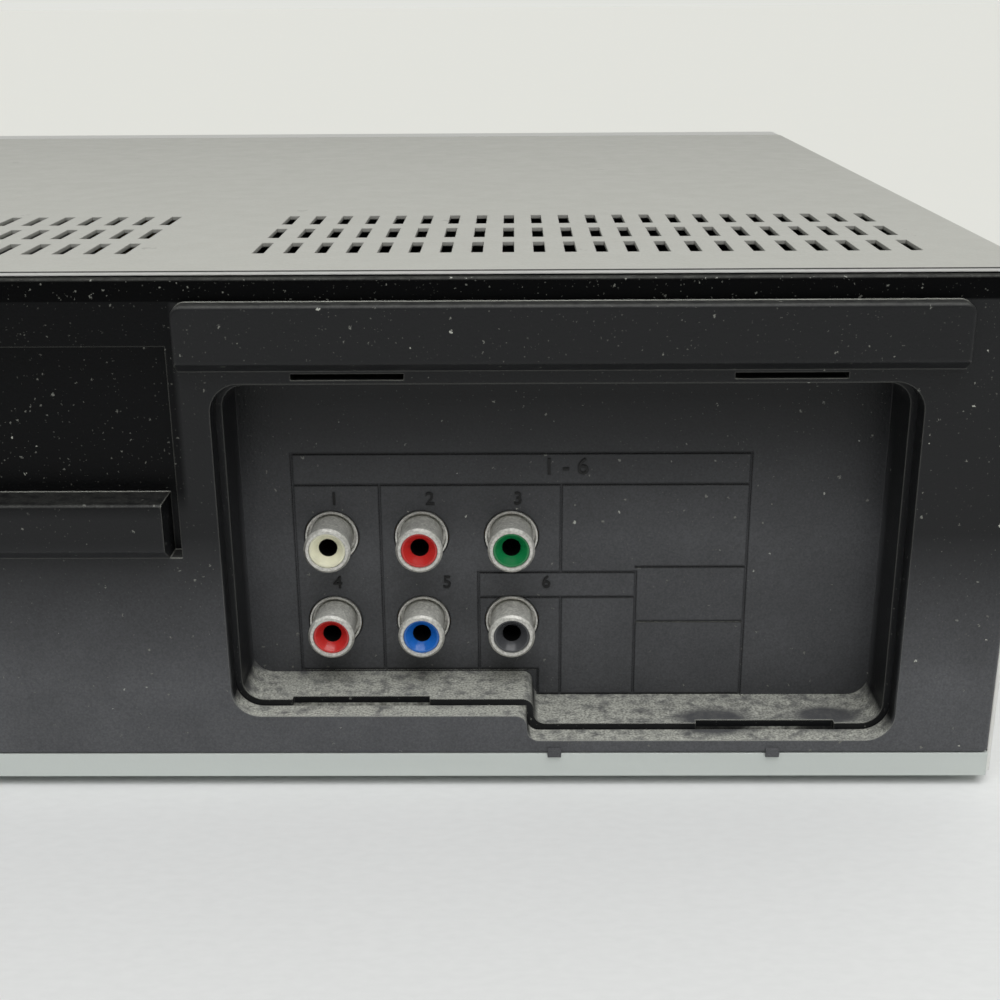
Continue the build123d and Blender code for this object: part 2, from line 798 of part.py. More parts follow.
def rack_outline(length):
    """A straight rack in X and Y: tooth tips at -X, the first gap centred on Y = 0."""
    pitch = pi * gear_module
    rise, fall = 0.95 * gear_module, 1.25 * gear_module
    half = pitch / 4 - backlash / 4
    slope = tan(radians(20))
    points = []
    for k in range(int(length / pitch)):
        mid = (k + 0.5) * pitch
        points += [
            (fall, mid - half - fall * slope),
            (-rise, mid - half + rise * slope),
            (-rise, mid + half - rise * slope),
            (fall, mid + half + fall * slope),
        ]
    back = fall + 2.0
    return make_face(Polyline(*points, (back, points[-1][1]), (back, points[0][1]), close=True))


def gear_outline(teeth):
    """An involute gear with one tooth centred on +X."""
    r = gear_module * teeth / 2
    base, root, tip = r * cos(radians(20)), r - 1.25 * gear_module, r + 0.95 * gear_module

    def involute(angle):
        return tan(angle) - angle

    half = pi / (2 * teeth) - backlash / (4 * r)
    flank = []
    for k in range(5):
        radius = base + (tip - base) * k / 4
        flank.append((radius, half + involute(radians(20)) - involute(acos(base / radius))))
    flank = [(root, flank[0][1])] + flank
    points = []
    for number in range(teeth):
        middle = 2 * pi * number / teeth
        sides = [(radius, middle - angle) for radius, angle in flank]
        sides += [(radius, middle + angle) for radius, angle in reversed(flank)]
        points += [(radius * cos(angle), radius * sin(angle)) for radius, angle in sides]
    return make_face(Polyline(*points, close=True))


def disc_tray():
    x = (disc_x - tray_half, disc_x + tray_half)
    y = (tray_front_y, tray_back_y)
    z = tray_z
    plate = block(x, y, (z, z + tray_plate + tray_rim))
    plate = fillet(plate.edges().filter_by(Axis.Z).group_by(Axis.Y)[-1], 4.0)
    over = z + 20.0
    recess = post(disc_x, disc_y, (z + recess_floor, over), disc_r + 1.0)
    small = post(disc_x, disc_y, (z + recess_floor - 0.6, over), small_disc_r)
    back = block((x[0] + 6, x[1] - 6), (disc_y + disc_r * 0.6, tray_back_y + 1), (z + tray_plate, over))
    slot = post(disc_x, disc_y, (z - 1, over), tray_slot_half)
    slot_x = (disc_x - tray_slot_half, disc_x + tray_slot_half)
    slot += block(slot_x, (disc_y, tray_back_y + 1), (z - 1, over))
    notches = [post(disc_x + u * (disc_r + 1), disc_y, (z + recess_floor, over), 8.0) for u in (-1, 1)]
    tray = plate - [recess, small, back, slot] - notches
    teeth = rack_outline(tray_travel + 4 * gear_module)
    rack_start = gear_y - 2 * pi * gear_module
    rack = extrude(Pos(rack_pitch_x, rack_start, gear_z[0]) * teeth, z - gear_z[0])
    return fuse([tray, rack])


def grooved_wheel(bore, radius, groove):
    """A belt wheel about Z with a V groove round its rim."""
    low, high = pulley_z
    middle = (low + high) / 2
    profile = [(bore, low), (radius, low), (radius - groove, middle), (radius, high), (bore, high)]
    return revolve(make_face(Polyline(*[(a, 0, b) for a, b in profile], close=True)), Axis.Z)


def tray_gear():
    """Pinion and belt pulley in one moulding, free on its post."""
    pinion = extrude(Pos(gear_x, gear_y, gear_z[0]) * gear_outline(gear_teeth), gear_z[1] - gear_z[0])
    neck = post(gear_x, gear_y, (pulley_z[1], gear_z[0]), 8.0)
    pulley = Pos(gear_x, gear_y, 0) * grooved_wheel(0, pulley_r, 1.4)
    return fuse([pinion, neck, pulley]) - post(gear_x, gear_y, (0, top), gear_post_r + run_fit)


def motor_pulley():
    return Pos(motor_x, gear_y, 0) * grooved_wheel(motor_shaft_r + run_fit, motor_pulley_r, 1.0)


def tray_motor():
    """A small can motor hung under the loader's floor, with its shaft."""
    can = post(motor_x, gear_y, (frame_z[0] - motor_height, frame_z[0]), motor_r)
    can = fillet(can.edges().sort_by(Axis.Z)[0], 2.0)
    boss = post(motor_x, gear_y, (frame_z[0], frame_z[0] + loader_floor), 3.0)
    return fuse([can, boss, post(motor_x, gear_y, (frame_z[0], pulley_z[1] - gap), motor_shaft_r)])


def tray_belt():
    """A square belt round both pulleys."""
    middle = (pulley_z[0] + pulley_z[1]) / 2
    big, small, span = pulley_r - 0.7, motor_pulley_r - 0.1, gear_x - motor_x
    loops = []
    for grow in (belt_side, 0.0):
        a, b = big + grow, small + grow
        lean = acos((a - b) / span)
        near = [(a * cos(pi - lean), a * sin(pi - lean)), (-span + b * cos(pi - lean), b * sin(pi - lean))]
        far = [(u, -v) for u, v in reversed(near)]
        wire = [
            Line(near[0], near[1]),
            ThreePointArc(near[1], (-span - b, 0), far[0]),
            Line(far[0], far[1]),
            ThreePointArc(far[1], (a, 0), near[0]),
        ]
        loops.append(make_face(wire))
    belt = extrude(loops[0], belt_side) - Pos(0, 0, -1) * extrude(loops[1], belt_side + 2)
    return Pos(gear_x, gear_y, middle - belt_side / 2) * belt


def loader_frame():
    floor = block(frame_x, frame_y, (frame_z[0], frame_z[0] + loader_floor))
    window = block((disc_x - 42, disc_x + 42), (gear_y + 22, pivot_y + 5), (frame_z[0] - 1, frame_z[0] + 9))
    left = block((frame_x[0], frame_x[0] + loader_wall), frame_y, frame_z)
    right = block((frame_x[1] - loader_wall, frame_x[1]), frame_y, frame_z)
    rail = (tray_z - 4.0, tray_z - gap)
    pieces = [floor - window, left, right]
    for u in (-1, 1):
        wall = disc_x + u * frame_half
        pieces.append(block((wall - u * 4.5, wall), frame_y, rail))
        for y in (frame_y[0] + 16, frame_y[1] - 30):
            pieces.append(block((wall - u * 3, wall), (y, y + 12), (frame_z[1] - 2.2, frame_z[1])))
        ear = disc_x + u * 45
        pieces.append(block((ear - 2.6, ear + 2.6), (pivot_y - 5, pivot_y + 5), (frame_z[0], pivot_z + 4)))
    pieces.append(post(gear_x, gear_y, (frame_z[0], gear_z[1]), gear_post_r))
    pieces.append(post(gear_x, gear_y, (frame_z[0], pulley_z[0] - gap), 4.5))
    pivot_bore = bar_x((disc_x - 48, disc_x + 48), pivot_y, pivot_z, pivot_pin_r + run_fit)
    motor_bore = post(motor_x, gear_y, (0, pulley_z[0] - 2), 3.0 + run_fit)
    return fuse(pieces) - pivot_bore - motor_bore


def clamp_bridge():
    """The pressed steel strap that holds the clamp over the disc's centre."""
    z = (frame_z[1], frame_z[1] + 1.2)
    strap = block((frame_x[0], frame_x[1]), (disc_y - 17, disc_y + 17), z)
    rib_x, rib_z = (frame_x[0] + 12, frame_x[1] - 12), (z[0], z[1] + 2.4)
    ribs = [block(rib_x, (disc_y + v - 0.8, disc_y + v + 0.8), rib_z) for v in (-16, 16)]
    return fuse([strap] + ribs) - post(disc_x, disc_y, (0, top), 9.5)


def disc_clamp():
    """The magnetic puck that hangs loosely through the bridge."""
    z = frame_z[1]
    low = post(disc_x, disc_y, (tray_z + tray_plate + 2.0, z - gap), 14.0)
    neck = post(disc_x, disc_y, (z - gap, z + 1.2 + gap), 8.5)
    high = post(disc_x, disc_y, (z + 1.2 + gap, z + 3.6), 12.0)
    return fuse([low, neck, high])


plate_z = (pivot_z - 1.2, pivot_z + 1.2)
disc_rest_z = tray_z + recess_floor + 1.0
sled_y = (disc_y + 18.0, disc_y + 46.0)
rod_x = 27.0
motor_neck_r = 3.0
rod_z = plate_z[1] + 4.0


def traverse_frame():
    """The swinging base that carries the disc motor and the pickup's rods."""
    y = (disc_y - 22.0, pivot_y + 2.0)
    plate = block((disc_x - traverse_half, disc_x + traverse_half), y, plate_z)
    window = block((disc_x - 23, disc_x + 23), (sled_y[0] - 2, sled_y[1] + sled_travel + 1.5), (0, top))
    pins, holders = [], []
    for u in (-1, 1):
        pin_x = (disc_x + u * (traverse_half - 4), disc_x + u * 47.2)
        pins.append(bar_x(pin_x, pivot_y, pivot_z, pivot_pin_r))
        for v in (sled_y[0] - 4, sled_y[1] + sled_travel + 4):
            x = disc_x + u * rod_x
            holders.append(block((x - 3, x + 3), (v - 2, v + 2), (plate_z[0], rod_z + 3)))
    body = fuse([plate - window] + pins + holders)
    rod_y = (sled_y[0] - 9, sled_y[1] + sled_travel + 9)
    rods = [bar_y(disc_x + u * rod_x, rod_y, rod_z, rod_r) for u in (-1, 1)]
    return body - rods - post(disc_x, disc_y, (0, top), motor_neck_r)


def guide_rods():
    span = (sled_y[0] - 6, sled_y[1] + sled_travel + 6)
    return group(bar_y(disc_x + u * rod_x, span, rod_z, rod_r) for u in (-1, 1))


def disc_motor():
    low = post(disc_x, disc_y, (plate_z[0] - 5, plate_z[0]), 13.0)
    neck = post(disc_x, disc_y, (plate_z[0], plate_z[1] + 0.6), motor_neck_r)
    shaft = post(disc_x, disc_y, (plate_z[0], disc_rest_z - 1.0), 1.0)
    return fuse([low, neck, shaft])


def turntable():
    table = post(disc_x, disc_y, (disc_rest_z - 3, disc_rest_z), turntable_r)
    neck = post(disc_x, disc_y, (plate_z[1] + 0.9, disc_rest_z - 2), 6.0)
    hub = post(disc_x, disc_y, (disc_rest_z, disc_rest_z + 2.0), hub_r)
    hub = chamfer(hub.edges().sort_by(Axis.Z)[-1], 1.0)
    return fuse([table, neck, hub]) - post(disc_x, disc_y, (0, disc_rest_z - 0.7), 1.0 + run_fit)


def pickup_sled():
    """The laser pickup's carriage on its two rods, with the lens on top."""
    body = block((disc_x - 21, disc_x + 21), sled_y, (plate_z[0] - 2, rod_z + 2))
    arm_x = (disc_x - rod_x - 3, disc_x + rod_x + 3)
    arms = block(arm_x, (sled_y[0] + 5, sled_y[1] - 5), (rod_z - 2.6, rod_z + 2.6))
    lens_y = sled_y[0] + 8
    housing = block((disc_x - 12, disc_x + 12), (lens_y - 7, lens_y + 9), (rod_z + 2, tray_z - 3))
    lens = post(disc_x, lens_y, (tray_z - 3, tray_z - 1.2), 3.6)
    bore_y = (sled_y[0] - 9, sled_y[1] + 9)
    bores = [bar_y(disc_x + u * rod_x, bore_y, rod_z, rod_r + run_fit) for u in (-1, 1)]
    return fuse([body, arms, housing, lens]) - bores


# ---- cassette deck ----

holder_x = (deck_x - cassette_width / 2 - 2.6, deck_x + cassette_width / 2 + 2.6)
holder_y = (face_y + holder_front_back, face_y + holder_front_back + holder_depth)
holder_z = (slot_z - 1.0, slot_z + cassette_height + 2.0)
bracket_x = cassette_width / 2 + 9.0
slider_x = (cassette_width / 2 + 4.2, cassette_width / 2 + 6.4)
deck_top = deck_z + deck_plate
deck_back_y = drum_y + 33.0
capstan_at = (deck_x + 54.0, 30.0)
arm_at = (deck_x + 74.0, 38.0)
drum_x = deck_x - drum_aside
reel_post_r = 2.0
arm_post_r = 2.0
roller_axle_r = 1.5
roller_at = (deck_x + 62.0, 20.0)
roller_r = 6.0


def cassette_deck():
    """The deck's steel plate with its reel posts."""
    x = (deck_x - bracket_x - 1.2, deck_x + bracket_x + 1.2)
    plate = block(x, (face_y + 32, deck_back_y), (deck_z, deck_top))
    reel_x = [deck_x + u * reel_spacing / 2 for u in (-1, 1)]
    reels = [post(v, reel_y, (deck_top, deck_top + 7.0), reel_post_r) for v in reel_x]
    collars = [post(v, reel_y, (deck_top, deck_top + 1.7), 5.0) for v in reel_x]
    arm_post = post(*arm_at, (deck_top, deck_top + 10.0), arm_post_r)
    arm_collar = post(*arm_at, (deck_top, deck_top + 1.2), 4.5)
    bush = post(*capstan_at, (deck_top, deck_top + 6.0), 3.2)
    bore = post(*capstan_at, (0, top), capstan_r + run_fit)
    return fuse([plate, bush, arm_post, arm_collar] + reels + collars) - bore


def reel_table(sign):
    """A reel drive: flanged disc and three-ribbed spindle."""
    x = deck_x + sign * reel_spacing / 2
    low = deck_top + 2.0
    disc = post(x, reel_y, (low, low + 3.5), reel_r)
    disc = fillet(disc.edges().sort_by(Axis.Z)[-1], 0.8)
    spindle = post(x, reel_y, (low, low + 15.0), 4.4)
    spindle = chamfer(spindle.edges().sort_by(Axis.Z)[-1], 1.5)
    rib = Pos(5.0, 0, low + 8) * Box(2.4, 1.6, 10.0)
    ribs = [Pos(x, reel_y, 0) * Rot(0, 0, 120 * k) * rib for k in range(3)]
    return fuse([disc, spindle] + ribs) - post(x, reel_y, (0, low + 10), reel_post_r + run_fit)


drum_base_z = deck_top + 4.0
drum_tilted = Location((drum_x, drum_y, drum_base_z), (drum_tilt, 0, 0))
drum_split = 20.0
drum_lift = 3.0
drum_shaft_r = 3.0
rotor_height = 16.0


def lower_drum():
    """The fixed half of the head drum on its wedge-shaped base."""
    half = drum_tilted * Pos(0, 0, drum_lift + drum_split / 2) * Cylinder(drum_r, drum_split)
    base = post(drum_x, drum_y, (deck_top, drum_base_z + 8), 24.0)
    ledge_ring = drum_tilted * Pos(0, 0, 6.0) * Cylinder(drum_r + 0.5, 4.0)
    shaft = drum_tilted * Pos(0, 0, 25.0) * Cylinder(drum_shaft_r, 24.0)
    return fuse([half, base, ledge_ring, shaft])


def upper_drum():
    """The spinning half of the head drum with the motor's rotor on top."""
    low = drum_lift + drum_split + gap
    half = Pos(0, 0, low + rotor_height / 2) * Cylinder(drum_r, rotor_height)
    rotor = Pos(0, 0, low + rotor_height + 2.0) * Cylinder(20.0, 4.0)
    pocket = Pos(drum_r - 1, 0, low + 0.8) * Box(5.0, 3.0, 1.8)
    pockets = [Rot(0, 0, 90 * k + 20) * pocket for k in range(4)]
    holes = [Rot(0, 0, 120 * k) * Pos(13.0, 0, low + 19) * Cylinder(2.0, 4.0) for k in range(3)]
    bore = Pos(0, 0, low) * Cylinder(drum_shaft_r + run_fit, 30.0)
    return drum_tilted * (half + rotor - pockets - holes - bore)


def capstan():
    """The capstan's shaft with its flywheel under the deck."""
    x, y = capstan_at
    wheel = post(x, y, (deck_z - 6.0, deck_z - 0.6), 22.0)
    groove = post(x, y, (deck_z - 4.2, deck_z - 2.4), 22.5) - post(x, y, (deck_z - 4.2, deck_z - 2.4), 21.0)
    return fuse([wheel - groove, post(x, y, (deck_z - 0.6, deck_top + 30.0), capstan_r)])


def pinch_arm():
    """The lever that swings the rubber roller to the capstan."""
    z = deck_top + 1.5
    ax, ay = arm_at
    rx, ry = roller_at
    ends = (Pos(ax, ay) * Circle(5.0)).edges() + (Pos(rx, ry) * Circle(3.5)).edges()
    arm = extrude(Pos(0, 0, z) * make_hull(ends), 3.0)
    axle = post(rx, ry, (z, z + 24.0), roller_axle_r)
    cap = post(rx, ry, (z + 22.4, z + 24.0), 3.0)
    bore = post(ax, ay, (0, top), arm_post_r + run_fit)
    return fuse([arm, post(ax, ay, (z, z + 8), 5.0), axle, cap]) - bore


def pinch_roller():
    rx, ry = roller_at
    z = deck_top + 1.5
    return post(rx, ry, (z + 4.5, z + 22.0), roller_r) - post(rx, ry, (0, top), roller_axle_r + run_fit)


def tape_guides():
    """The fixed guide posts and the erase and sound heads round the drum."""
    places = [(drum_x - 46, 18.0), (drum_x - 40, 34.0), (drum_x + 36, 14.0), (drum_x + 53, 14.0)]
    posts = []
    for x, y in places:
        flanges = [post(x, y, (deck_top + h, deck_top + h + 1), 4.0) for h in (10.0, 26.0)]
        posts.append(fuse([post(x, y, (deck_top, deck_top + 29), 2.4)] + flanges))
    return group(posts)


def tape_heads():
    """The full-width erase head and the sound head on their brackets."""
    z = (deck_top, deck_top + 28)
    erase = block((drum_x - 60, drum_x - 50), (26, 38), z)
    sound = block((capstan_at[0] - 24, capstan_at[0] - 14), (24, 34), z)
    return group(chamfer(head.edges().filter_by(Axis.Z), 2.0) for head in (erase, sound))


def cassette_brackets():
    """The deck's two side plates, joined by a strap over the cassette."""
    y = (face_y + 34.0, face_y + 134.0)
    z = (deck_top, slot_z + cassette_height + 7.0)
    pieces = []
    for u in (-1, 1):
        x = deck_x + u * bracket_x
        pieces.append(block((x, x + u * 1.2), y, z))
        pieces.append(block((x - u * 2.3, x), y, (slot_z + 12, slot_z + 16)))
    reach = bracket_x + 1.2
    strap = block((deck_x - reach, deck_x + reach), (y[0] + 26, y[0] + 48), (z[1], z[1] + 1.2))
    return fuse(pieces + [strap])


def carriage_sliders():
    """The two plates that carry the holder inward, tied by a cross shaft."""
    y = (holder_y[0] + 4, holder_y[1] - 4)
    z = (slot_z - 32, slot_z + cassette_height + 5.9)
    plates = [block((deck_x + u * slider_x[0], deck_x + u * slider_x[1]), y, z) for u in (-1, 1)]
    reach = slider_x[1] - 0.5
    shaft = bar_x((deck_x - reach, deck_x + reach), (y[0] + y[1]) / 2, z[1] - 1.9, 1.5)
    return fuse(plates + [shaft])


def cassette_holder():
    """The sheet metal basket that takes the cassette: roof, sides and bottom lips."""
    roof = block(holder_x, holder_y, (holder_z[1] - 1.0, holder_z[1]))
    pieces = [roof]
    for u, wall in zip((-1, 1), holder_x):
        pieces.append(block((wall, wall - u * 1.0), holder_y, holder_z))
        pieces.append(block((wall, wall - u * 14.0), holder_y, (holder_z[0], holder_z[0] + 1.0)))
        for y in (holder_y[0] + 10, holder_y[1] - 10):
            pieces.append(bar_x((wall, deck_x + u * (slider_x[0] - gap)), y, slot_z + 14, 2.5))
    window_y, roof_z = (holder_y[0] + 12, holder_y[1] - 10), (holder_z[1] - 3, holder_z[1] + 1)
    middles = [deck_x + u * cassette_width * 0.24 for u in (-1, 1)]
    windows = [block((v - 20, v + 20), window_y, roof_z) for v in middles]
    return fuse(pieces) - windows


# ---- boards ----

main_board_x = (-side + 16, deck_x - bracket_x - 8.0)
main_board_end = side - 74.0
main_board_y = (tray_back_y + 12, jack_front_y + 3)
power_board_x = (side - 71.0, side - 8.0)
power_board_y = (rear_y - 42.0, rear_y - 22.0)
chip_half = 11.0
chip_y = (main_board_y[0] + 6, main_board_y[0] * 0.55 + main_board_y[1] * 0.45)


def main_board():
    """The main circuit board with its chips and tall capacitors."""
    z = (board_z, board_z + board)
    plate = block(main_board_x, main_board_y, z)
    wing = block((main_board_x[1] - 1, main_board_end), (deck_back_y + 4, main_board_y[1]), z)
    high = board_z + board
    chip_x = (-side + 65, -side + 125, main_board_x[1] - 32)
    chips = [block((x - chip_half, x + chip_half), chip_y, (high, high + 1.8)) for x in chip_x]
    can_x = spread(main_board_x[1] - 66, main_board_x[1] - 8, 5)
    cans = [post(x, main_board_y[0] + 10, (high, high + 12), 4.0) for x in can_x]
    return fuse([plate, wing] + chips + cans)


def power_board():
    """The power supply's board with its transformer and its capacitor."""
    high = board_z + board
    plate = block(power_board_x, power_board_y, (board_z, high))
    core = block((side - 63, side - 35), (power_board_y[0] + 2, power_board_y[1] - 2), (high, high + 24))
    can = post(side - 21, power_board_y[0] + 10, (high, high + 30), 9.0)
    return fuse([plate, core, can])


def corners(x, y, inset_x, inset_y):
    """The four corners of a plate, moved in from its edges."""
    return [(u, v) for u in (x[0] + inset_x, x[1] - inset_x) for v in (y[0] + inset_y, y[1] - inset_y)]


board_posts = corners(main_board_x, main_board_y, 8, 5) + corners(power_board_x, power_board_y, 5, 4)
board_posts += [(main_board_x[1] - 36, y) for y in (main_board_y[0] + 5, main_board_y[1] - 5)]
deck_posts = corners((deck_x - bracket_x, deck_x + bracket_x), (face_y + 32, deck_back_y), 8, 9.5)
standoffs += [(x, y, board_z, 3.0) for x, y in board_posts]
standoffs += [(x, y, frame_z[0], 4.0) for x, y in corners(frame_x, frame_y, 8, 10)]
standoffs += [(x, y, deck_z, 4.0) for x, y in deck_posts]


def jack_shells():
    """The metal sleeves of every jack, at the back and the front."""
    rear = [jack_shell(x, z) for x, z in jack_places() + vcr_jack_places()]
    return group(rear + [to_front(jack_shell(0, 0), x) for x in front_jack_x])


def jack_boards():
    return group([jack_board(jack_places()), jack_board(vcr_jack_places())])


nodes = {
    "top_cover": top_cover,
    "bottom_chassis": bottom_chassis,
    "feet": feet,
    "cover_screws": cover_screws,
    "rear_panel": rear_panel,
    "dvd_jack_panel": dvd_jack_panel,
    "vcr_jack_panel": vcr_jack_panel,
    "jack_shells": jack_shells,
    "jack_boards": jack_boards,
    "tuner_module": tuner_module,
    "aerial_sockets": aerial_sockets,
    "mains_inlet": mains_inlet,
    "front_bezel": front_bezel,
    "cassette_door": cassette_door,
    "display_window": display_window,
    "display_module": display_module,
    "front_board": front_board,
    "tray_front": tray_front,
    "disc_tray": disc_tray,
    "tray_gear": tray_gear,
    "motor_pulley": motor_pulley,
    "tray_motor": tray_motor,
    "tray_belt": tray_belt,
    "loader_frame": loader_frame,
    "clamp_bridge": clamp_bridge,
    "disc_clamp": disc_clamp,
    "traverse_frame": traverse_frame,
    "guide_rods": guide_rods,
    "disc_motor": disc_motor,
    "turntable": turntable,
    "pickup_sled": pickup_sled,
    "cassette_deck": cassette_deck,
    "supply_reel_table": lambda: reel_table(-1),
    "takeup_reel_table": lambda: reel_table(1),
    "lower_drum": lower_drum,
    "upper_drum": upper_drum,
    "capstan": capstan,
    "pinch_arm": pinch_arm,
    "pinch_roller": pinch_roller,
    "tape_guides": tape_guides,
    "tape_heads": tape_heads,
    "cassette_brackets": cassette_brackets,
    "carriage_sliders": carriage_sliders,
    "cassette_holder": cassette_holder,
    "main_board": main_board,
    "power_board": power_board,
}
for colour in ("white", "red", "green", "blue", "black", "yellow"):
    nodes[f"jack_insulators_{colour}"] = lambda c=colour: insulators(c)
for key in round_buttons:
    nodes[key] = lambda n=key: round_button(n)
for key in wide_buttons:
    nodes[key] = lambda n=key: wide_button(n)

os.makedirs("parts", exist_ok=True)
for name, make in nodes.items():
    export_step(make(), f"parts/{name}.step")
print(len(nodes), "nodes")
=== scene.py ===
"""Disc player and videocassette recorder in one case: its finishes, its small parts and its studio."""
import math

import bmesh
import bpy
from mathutils import Euler, Matrix, Vector


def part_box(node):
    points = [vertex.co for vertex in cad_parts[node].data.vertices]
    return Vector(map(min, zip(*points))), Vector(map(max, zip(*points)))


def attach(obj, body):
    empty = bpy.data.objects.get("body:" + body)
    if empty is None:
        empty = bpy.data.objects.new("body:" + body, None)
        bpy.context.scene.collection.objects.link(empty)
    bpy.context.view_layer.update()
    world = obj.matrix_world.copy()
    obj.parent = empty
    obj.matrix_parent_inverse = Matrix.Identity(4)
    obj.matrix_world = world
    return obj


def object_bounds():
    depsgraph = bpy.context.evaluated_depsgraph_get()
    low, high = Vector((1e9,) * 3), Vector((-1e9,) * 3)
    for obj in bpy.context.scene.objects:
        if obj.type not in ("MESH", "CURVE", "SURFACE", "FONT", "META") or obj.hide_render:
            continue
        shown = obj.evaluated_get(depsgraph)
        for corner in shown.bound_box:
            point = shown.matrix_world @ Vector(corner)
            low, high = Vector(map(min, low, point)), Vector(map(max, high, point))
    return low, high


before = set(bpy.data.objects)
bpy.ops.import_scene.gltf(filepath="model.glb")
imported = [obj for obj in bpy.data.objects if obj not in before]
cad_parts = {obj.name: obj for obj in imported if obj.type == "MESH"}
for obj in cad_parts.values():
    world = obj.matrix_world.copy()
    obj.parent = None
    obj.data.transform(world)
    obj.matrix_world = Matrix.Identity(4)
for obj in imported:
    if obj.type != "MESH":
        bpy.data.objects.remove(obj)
cad_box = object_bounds()

bl_info = {
    "name": "Disc and cassette player",
    "version": (1, 0, 0),
    "blender": (4, 5, 0),
    "location": "3D View > Sidebar > Player",
    "description": "Finishes a disc player and videocassette recorder, with its jacks, keys and display",
    "category": "Object",
}

MM = 0.001


def linear(code):
    """An sRGB hex colour as linear RGBA."""
    channels = [int(code[place:place + 2], 16) / 255 for place in (1, 3, 5)]
    return [c / 12.92 if c <= 0.04045 else ((c + 0.055) / 1.055) ** 2.4 for c in channels] + [1.0]


def swatch(name, description, code):
    """A colour that a user can change."""
    return bpy.props.FloatVectorProperty(
        name=name, description=description, subtype="COLOR", size=4, min=0.0, max=1.0, default=linear(code)
    )


def measure(name, description, value):
    """A plain number above zero that a user can change."""
    return bpy.props.FloatProperty(name=name, description=description, default=value, min=0.0)


# ---- settings ----


class PlayerCase(bpy.types.PropertyGroup):
    """Finishes of the cover, the chassis and the rear panels"""
    enamel: swatch("Cover enamel", "Silver enamel on the sheet steel cover", "#B0B0AA")
    strip: swatch("Chassis enamel", "Paler enamel on the chassis edge", "#D3D9D5")
    plastic: swatch("Rear plastic", "Black moulded ABS of the rear panels", "#232426")
    # also the colour of the painted highlights along the rear panels' upward edges
    dust: swatch("Dust", "House dust on the ledges", "#B4B5AD")
    # its colour greys the panels' lower faces for dust and painted light from the floor together
    film: swatch("Dust film", "Thin film of dust on the lower part of the panels", "#606164")
    grain: measure("Leather grain", "Size of one cell of the moulded grain, in millimetres", 0.45)
    peel: measure("Enamel texture", "Size of the enamel's small bumps, in millimetres", 0.9)


class PlayerJacks(bpy.types.PropertyGroup):
    """Colours of the jacks"""
    nickel: swatch("Nickel", "Dulled nickel plate of the jack sleeves", "#DAD8D2")
    cream: swatch("Cream", "Cream insulator", "#F3F1D6")
    red: swatch("Red", "Red insulator", "#CB2F2C")
    green: swatch("Green", "Green insulator", "#138048")
    blue: swatch("Blue", "Blue insulator", "#1E6CC6")
    black: swatch("Dark grey", "Dark grey insulator", "#4A4B4E")
    yellow: swatch("Yellow", "Yellow insulator", "#E8B92B")


class PlayerStudio(bpy.types.PropertyGroup):
    """The floor, the light and the camera"""
    floor: swatch("Floor", "Pale floor", "#EAEBEB")
    wall: swatch("Wall", "Warmer white behind the player", "#DFDFDA")
    bright: measure("Wall light", "Strength of the light from the wall behind the player", 0.72)
    dim: measure("Room light", "Strength of the light from the room behind the camera", 0.14)
    sun: measure("Soft light", "Strength of the wide light overhead", 2.2)
    focal: measure("Focal length", "Focal length of the camera, in millimetres on a 36 mm sensor", 50.97)
    place: bpy.props.FloatVectorProperty(
        name="Camera place",
        description="Where the camera stands",
        subtype="TRANSLATION",
        unit="LENGTH",
        default=(-0.13034, 0.34440, 0.13284),
    )
    turn: bpy.props.FloatVectorProperty(
        name="Camera turn",
        description="How the camera is turned",
        subtype="EULER",
        unit="ROTATION",
        default=(math.radians(70.5543), math.radians(0.3646), math.radians(-179.4896)),
    )


# ---- materials ----

# Sockets go by number. Map Range has the value as 0, the range it comes from as 1 and 2 and the range it
# goes to as 3 and 4. Mix has the factor as 0 and its two colours as 6 and 7.

# settings of the nodes that join two values or two colours
TIMES = {"operation": "MULTIPLY", "use_clamp": True}
MOST = {"operation": "MAXIMUM"}
COLOUR = {"data_type": "RGBA"}

# places on the rear panel, in millimetres
LEDGE_Z = 14.0
LOW_LEDGE_Z = 9.1
LEDGE_STEP_X = -132.4
# middle and radius of each
WIPED_PATCHES = (((-166.0, 116.2, LOW_LEDGE_Z), 3.6), ((-186.5, 115.0, LOW_LEDGE_Z), 3.2))


def socket_name(key):
    """The shader's name for a setting written in small letters."""
    return key.replace("_", " ").title().replace("Ior", "IOR")


def start(name, colour, roughness, **more):
    """A new material; what is uniform is set on its shader's own sockets."""
    made = bpy.data.materials.new(name)
    made.use_nodes = True
    shader = made.node_tree.nodes["Principled BSDF"]
    values = {"base_color": colour, "roughness": roughness, **more}
    for key, value in values.items():
        shader.inputs[socket_name(key)].default_value = value
    return made, shader


def add(made, kind, sockets, out=None, **settings):
    """Adds a node with its settings and links, and gives its first live output or the one named."""
    item = made.node_tree.nodes.new("ShaderNode" + kind)
    for key, value in settings.items():
        setattr(item, key, value)
    for key, value in sockets.items():
        if isinstance(value, bpy.types.NodeSocket):
            made.node_tree.links.new(value, item.inputs[key])
        else:
            item.inputs[key].default_value = value
    return item.outputs[out] if out else next(output for output in item.outputs if output.enabled)


def feed(made, shader, **sockets):
    """Links outputs to the shader's sockets."""
    for key, output in sockets.items():
        made.node_tree.links.new(output, shader.inputs[socket_name(key)])


def per(size_mm):
    """Texture scale that makes one feature this many millimetres wide."""
    return 1.0 / (size_mm * MM)


def shaded(colour, factor):
    """The same colour, lighter or darker."""
    return [min(1.0, channel * factor) for channel in colour[:3]] + [1.0]


def cloud(made, size_mm, low, high, detail=3.0, stretch=(1.0, 1.0, 1.0)):
    """A soft uneven pattern between two values."""
    where = add(made, "TexCoord", {}, "Object")
    scaled = add(made, "VectorMath", {0: where, 1: stretch}, operation="MULTIPLY")
    noise = add(made, "TexNoise", {"Vector": scaled, "Scale": per(size_mm), "Detail": detail})
    return add(made, "MapRange", {0: noise, 1: 0.3, 2: 0.7, 3: low, 4: high})


